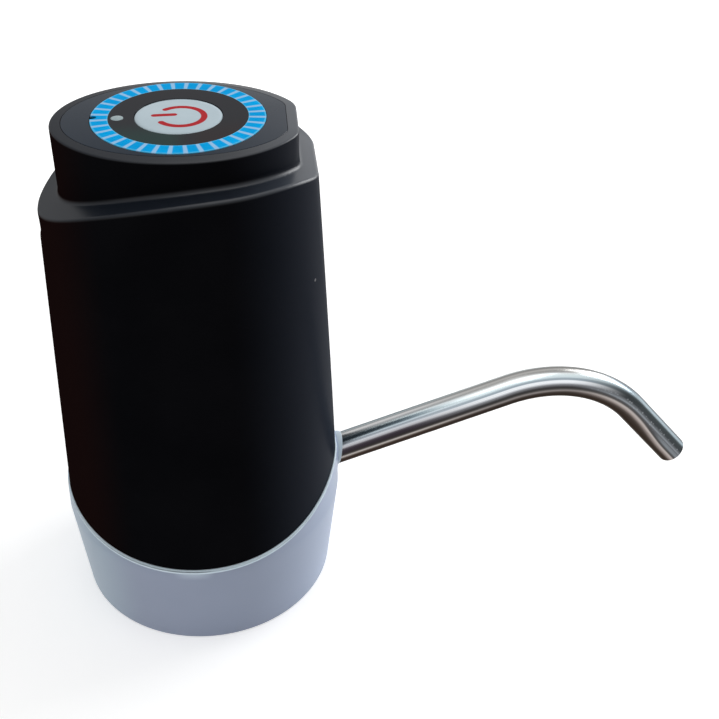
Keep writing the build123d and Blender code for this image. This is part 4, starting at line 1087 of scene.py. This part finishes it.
def makeCellSleeve():
    # shrink sleeve: deep blue with a clear coat, slightly rippled
    material, tree, shader = newTree("cellSleeve")
    ripple = useGroup(brushedLines, {
        "Vector": objectVector(tree), "Across": 300.0, "Along": 120.0})["Bands"]
    fill(shader, {
        "Base Color": mixColour(ripple, (0.02, 0.09, 0.34), (0.03, 0.13, 0.42)),
        "Roughness": 0.3, "Coat Weight": 0.5, "Normal": bump(ripple, 0.2, "sleeve")})
    return material


for finishName, look in innerPlastics.items():
    dress(look["nodes"], mouldedPlastic(finishName, {**plainPlastic, **look}))
for finishName, look in innerMetals.items():
    dress(look["nodes"], workedMetal(finishName, {**plainMetal, **look}))
dress(["control_board"], makeBoardGreen())
dress(["battery_cell"], makeCellSleeve())
print("inner pieces dressed")

# floor, light and background
stageLook = {"floorColour": (0.86, 0.86, 0.86), "floorLift": 0.45, "farLift": 0.25, "farRun": (0.12, 0.45),
             "worldLevel": 0.42, "size": 4.0}
lamps = {
    "overhead": {"place": (0.05, 0.05, 0.75), "size": 0.55, "watts": 1.1, "aim": (0.02, 0, 0.05)},
    "rightBack": {"place": (0.62, 0.32, 0.34), "size": 0.42, "watts": 3.2, "aim": (0.02, 0, 0.06)},
    "leftFront": {"place": (-0.55, -0.42, 0.30), "size": 0.5, "watts": 0.7, "aim": (0, 0, 0.05)},
}


def seenDirectly(tree):
    # 1 for rays from the camera and for those in mirrors and glass, 0 for light that falls on things
    path = newNode(tree, "LightPath").outputs
    seen = calc("ADD", path["Is Camera Ray"], path["Is Glossy Ray"], clamp=True)
    return calc("ADD", seen, path["Is Transmission Ray"], clamp=True)


def makeStage(look):
    half = look["size"] / 2
    mesh = bpy.data.meshes.new("floor")
    corners = [(-half, -half, 0), (half, -half, 0), (half, half, 0), (-half, half, 0)]
    mesh.from_pydata(corners, [], [(0, 1, 2, 3)])
    material, tree, shader = newTree("paleFloor")
    fill(shader, {"Base Color": (*look["floorColour"], 1), "Roughness": 0.9})
    # the floor turns white away from the object, so that no far edge shows
    away = addNode("VectorMath", {0: objectVector(tree)}, operation="LENGTH")["Value"]
    lift = plus(times(smoothStep(away, *look["farRun"]), look["farLift"]), look["floorLift"])
    glow = addNode("Emission", {"Color": (1, 1, 1, 1), "Strength": times(seenDirectly(tree), lift)})
    both = addNode("AddShader", {0: shader.outputs[0], 1: glow[0]})
    fill(tree.nodes["Material Output"], {"Surface": both[0]})
    mesh.materials.append(material)
    addObject("floor", mesh)


def makeWorld(look):
    world = bpy.data.worlds.new("plainWorld")
    world.use_nodes = True
    tree = world.node_tree
    fill(tree.nodes["Background"], {
        "Color": (1, 1, 1, 1), "Strength": between(seenDirectly(tree), look["worldLevel"], 1.0)})
    bpy.context.scene.world = world


def makeLamp(name, look):
    data = bpy.data.lights.new(name, "AREA")
    data.shape = "SQUARE"
    data.size = look["size"]
    data.energy = look["watts"]
    lamp = addObject(name, data)
    lamp.location = look["place"]
    lamp.rotation_euler = (Vector(look["aim"]) - Vector(look["place"])).to_track_quat("-Z", "Y").to_euler()


makeStage(stageLook)
makeWorld(stageLook)
for lampName, lampLook in lamps.items():
    makeLamp(lampName, lampLook)
bpy.context.scene.view_settings.view_transform = "Standard"
print("stage and light set")
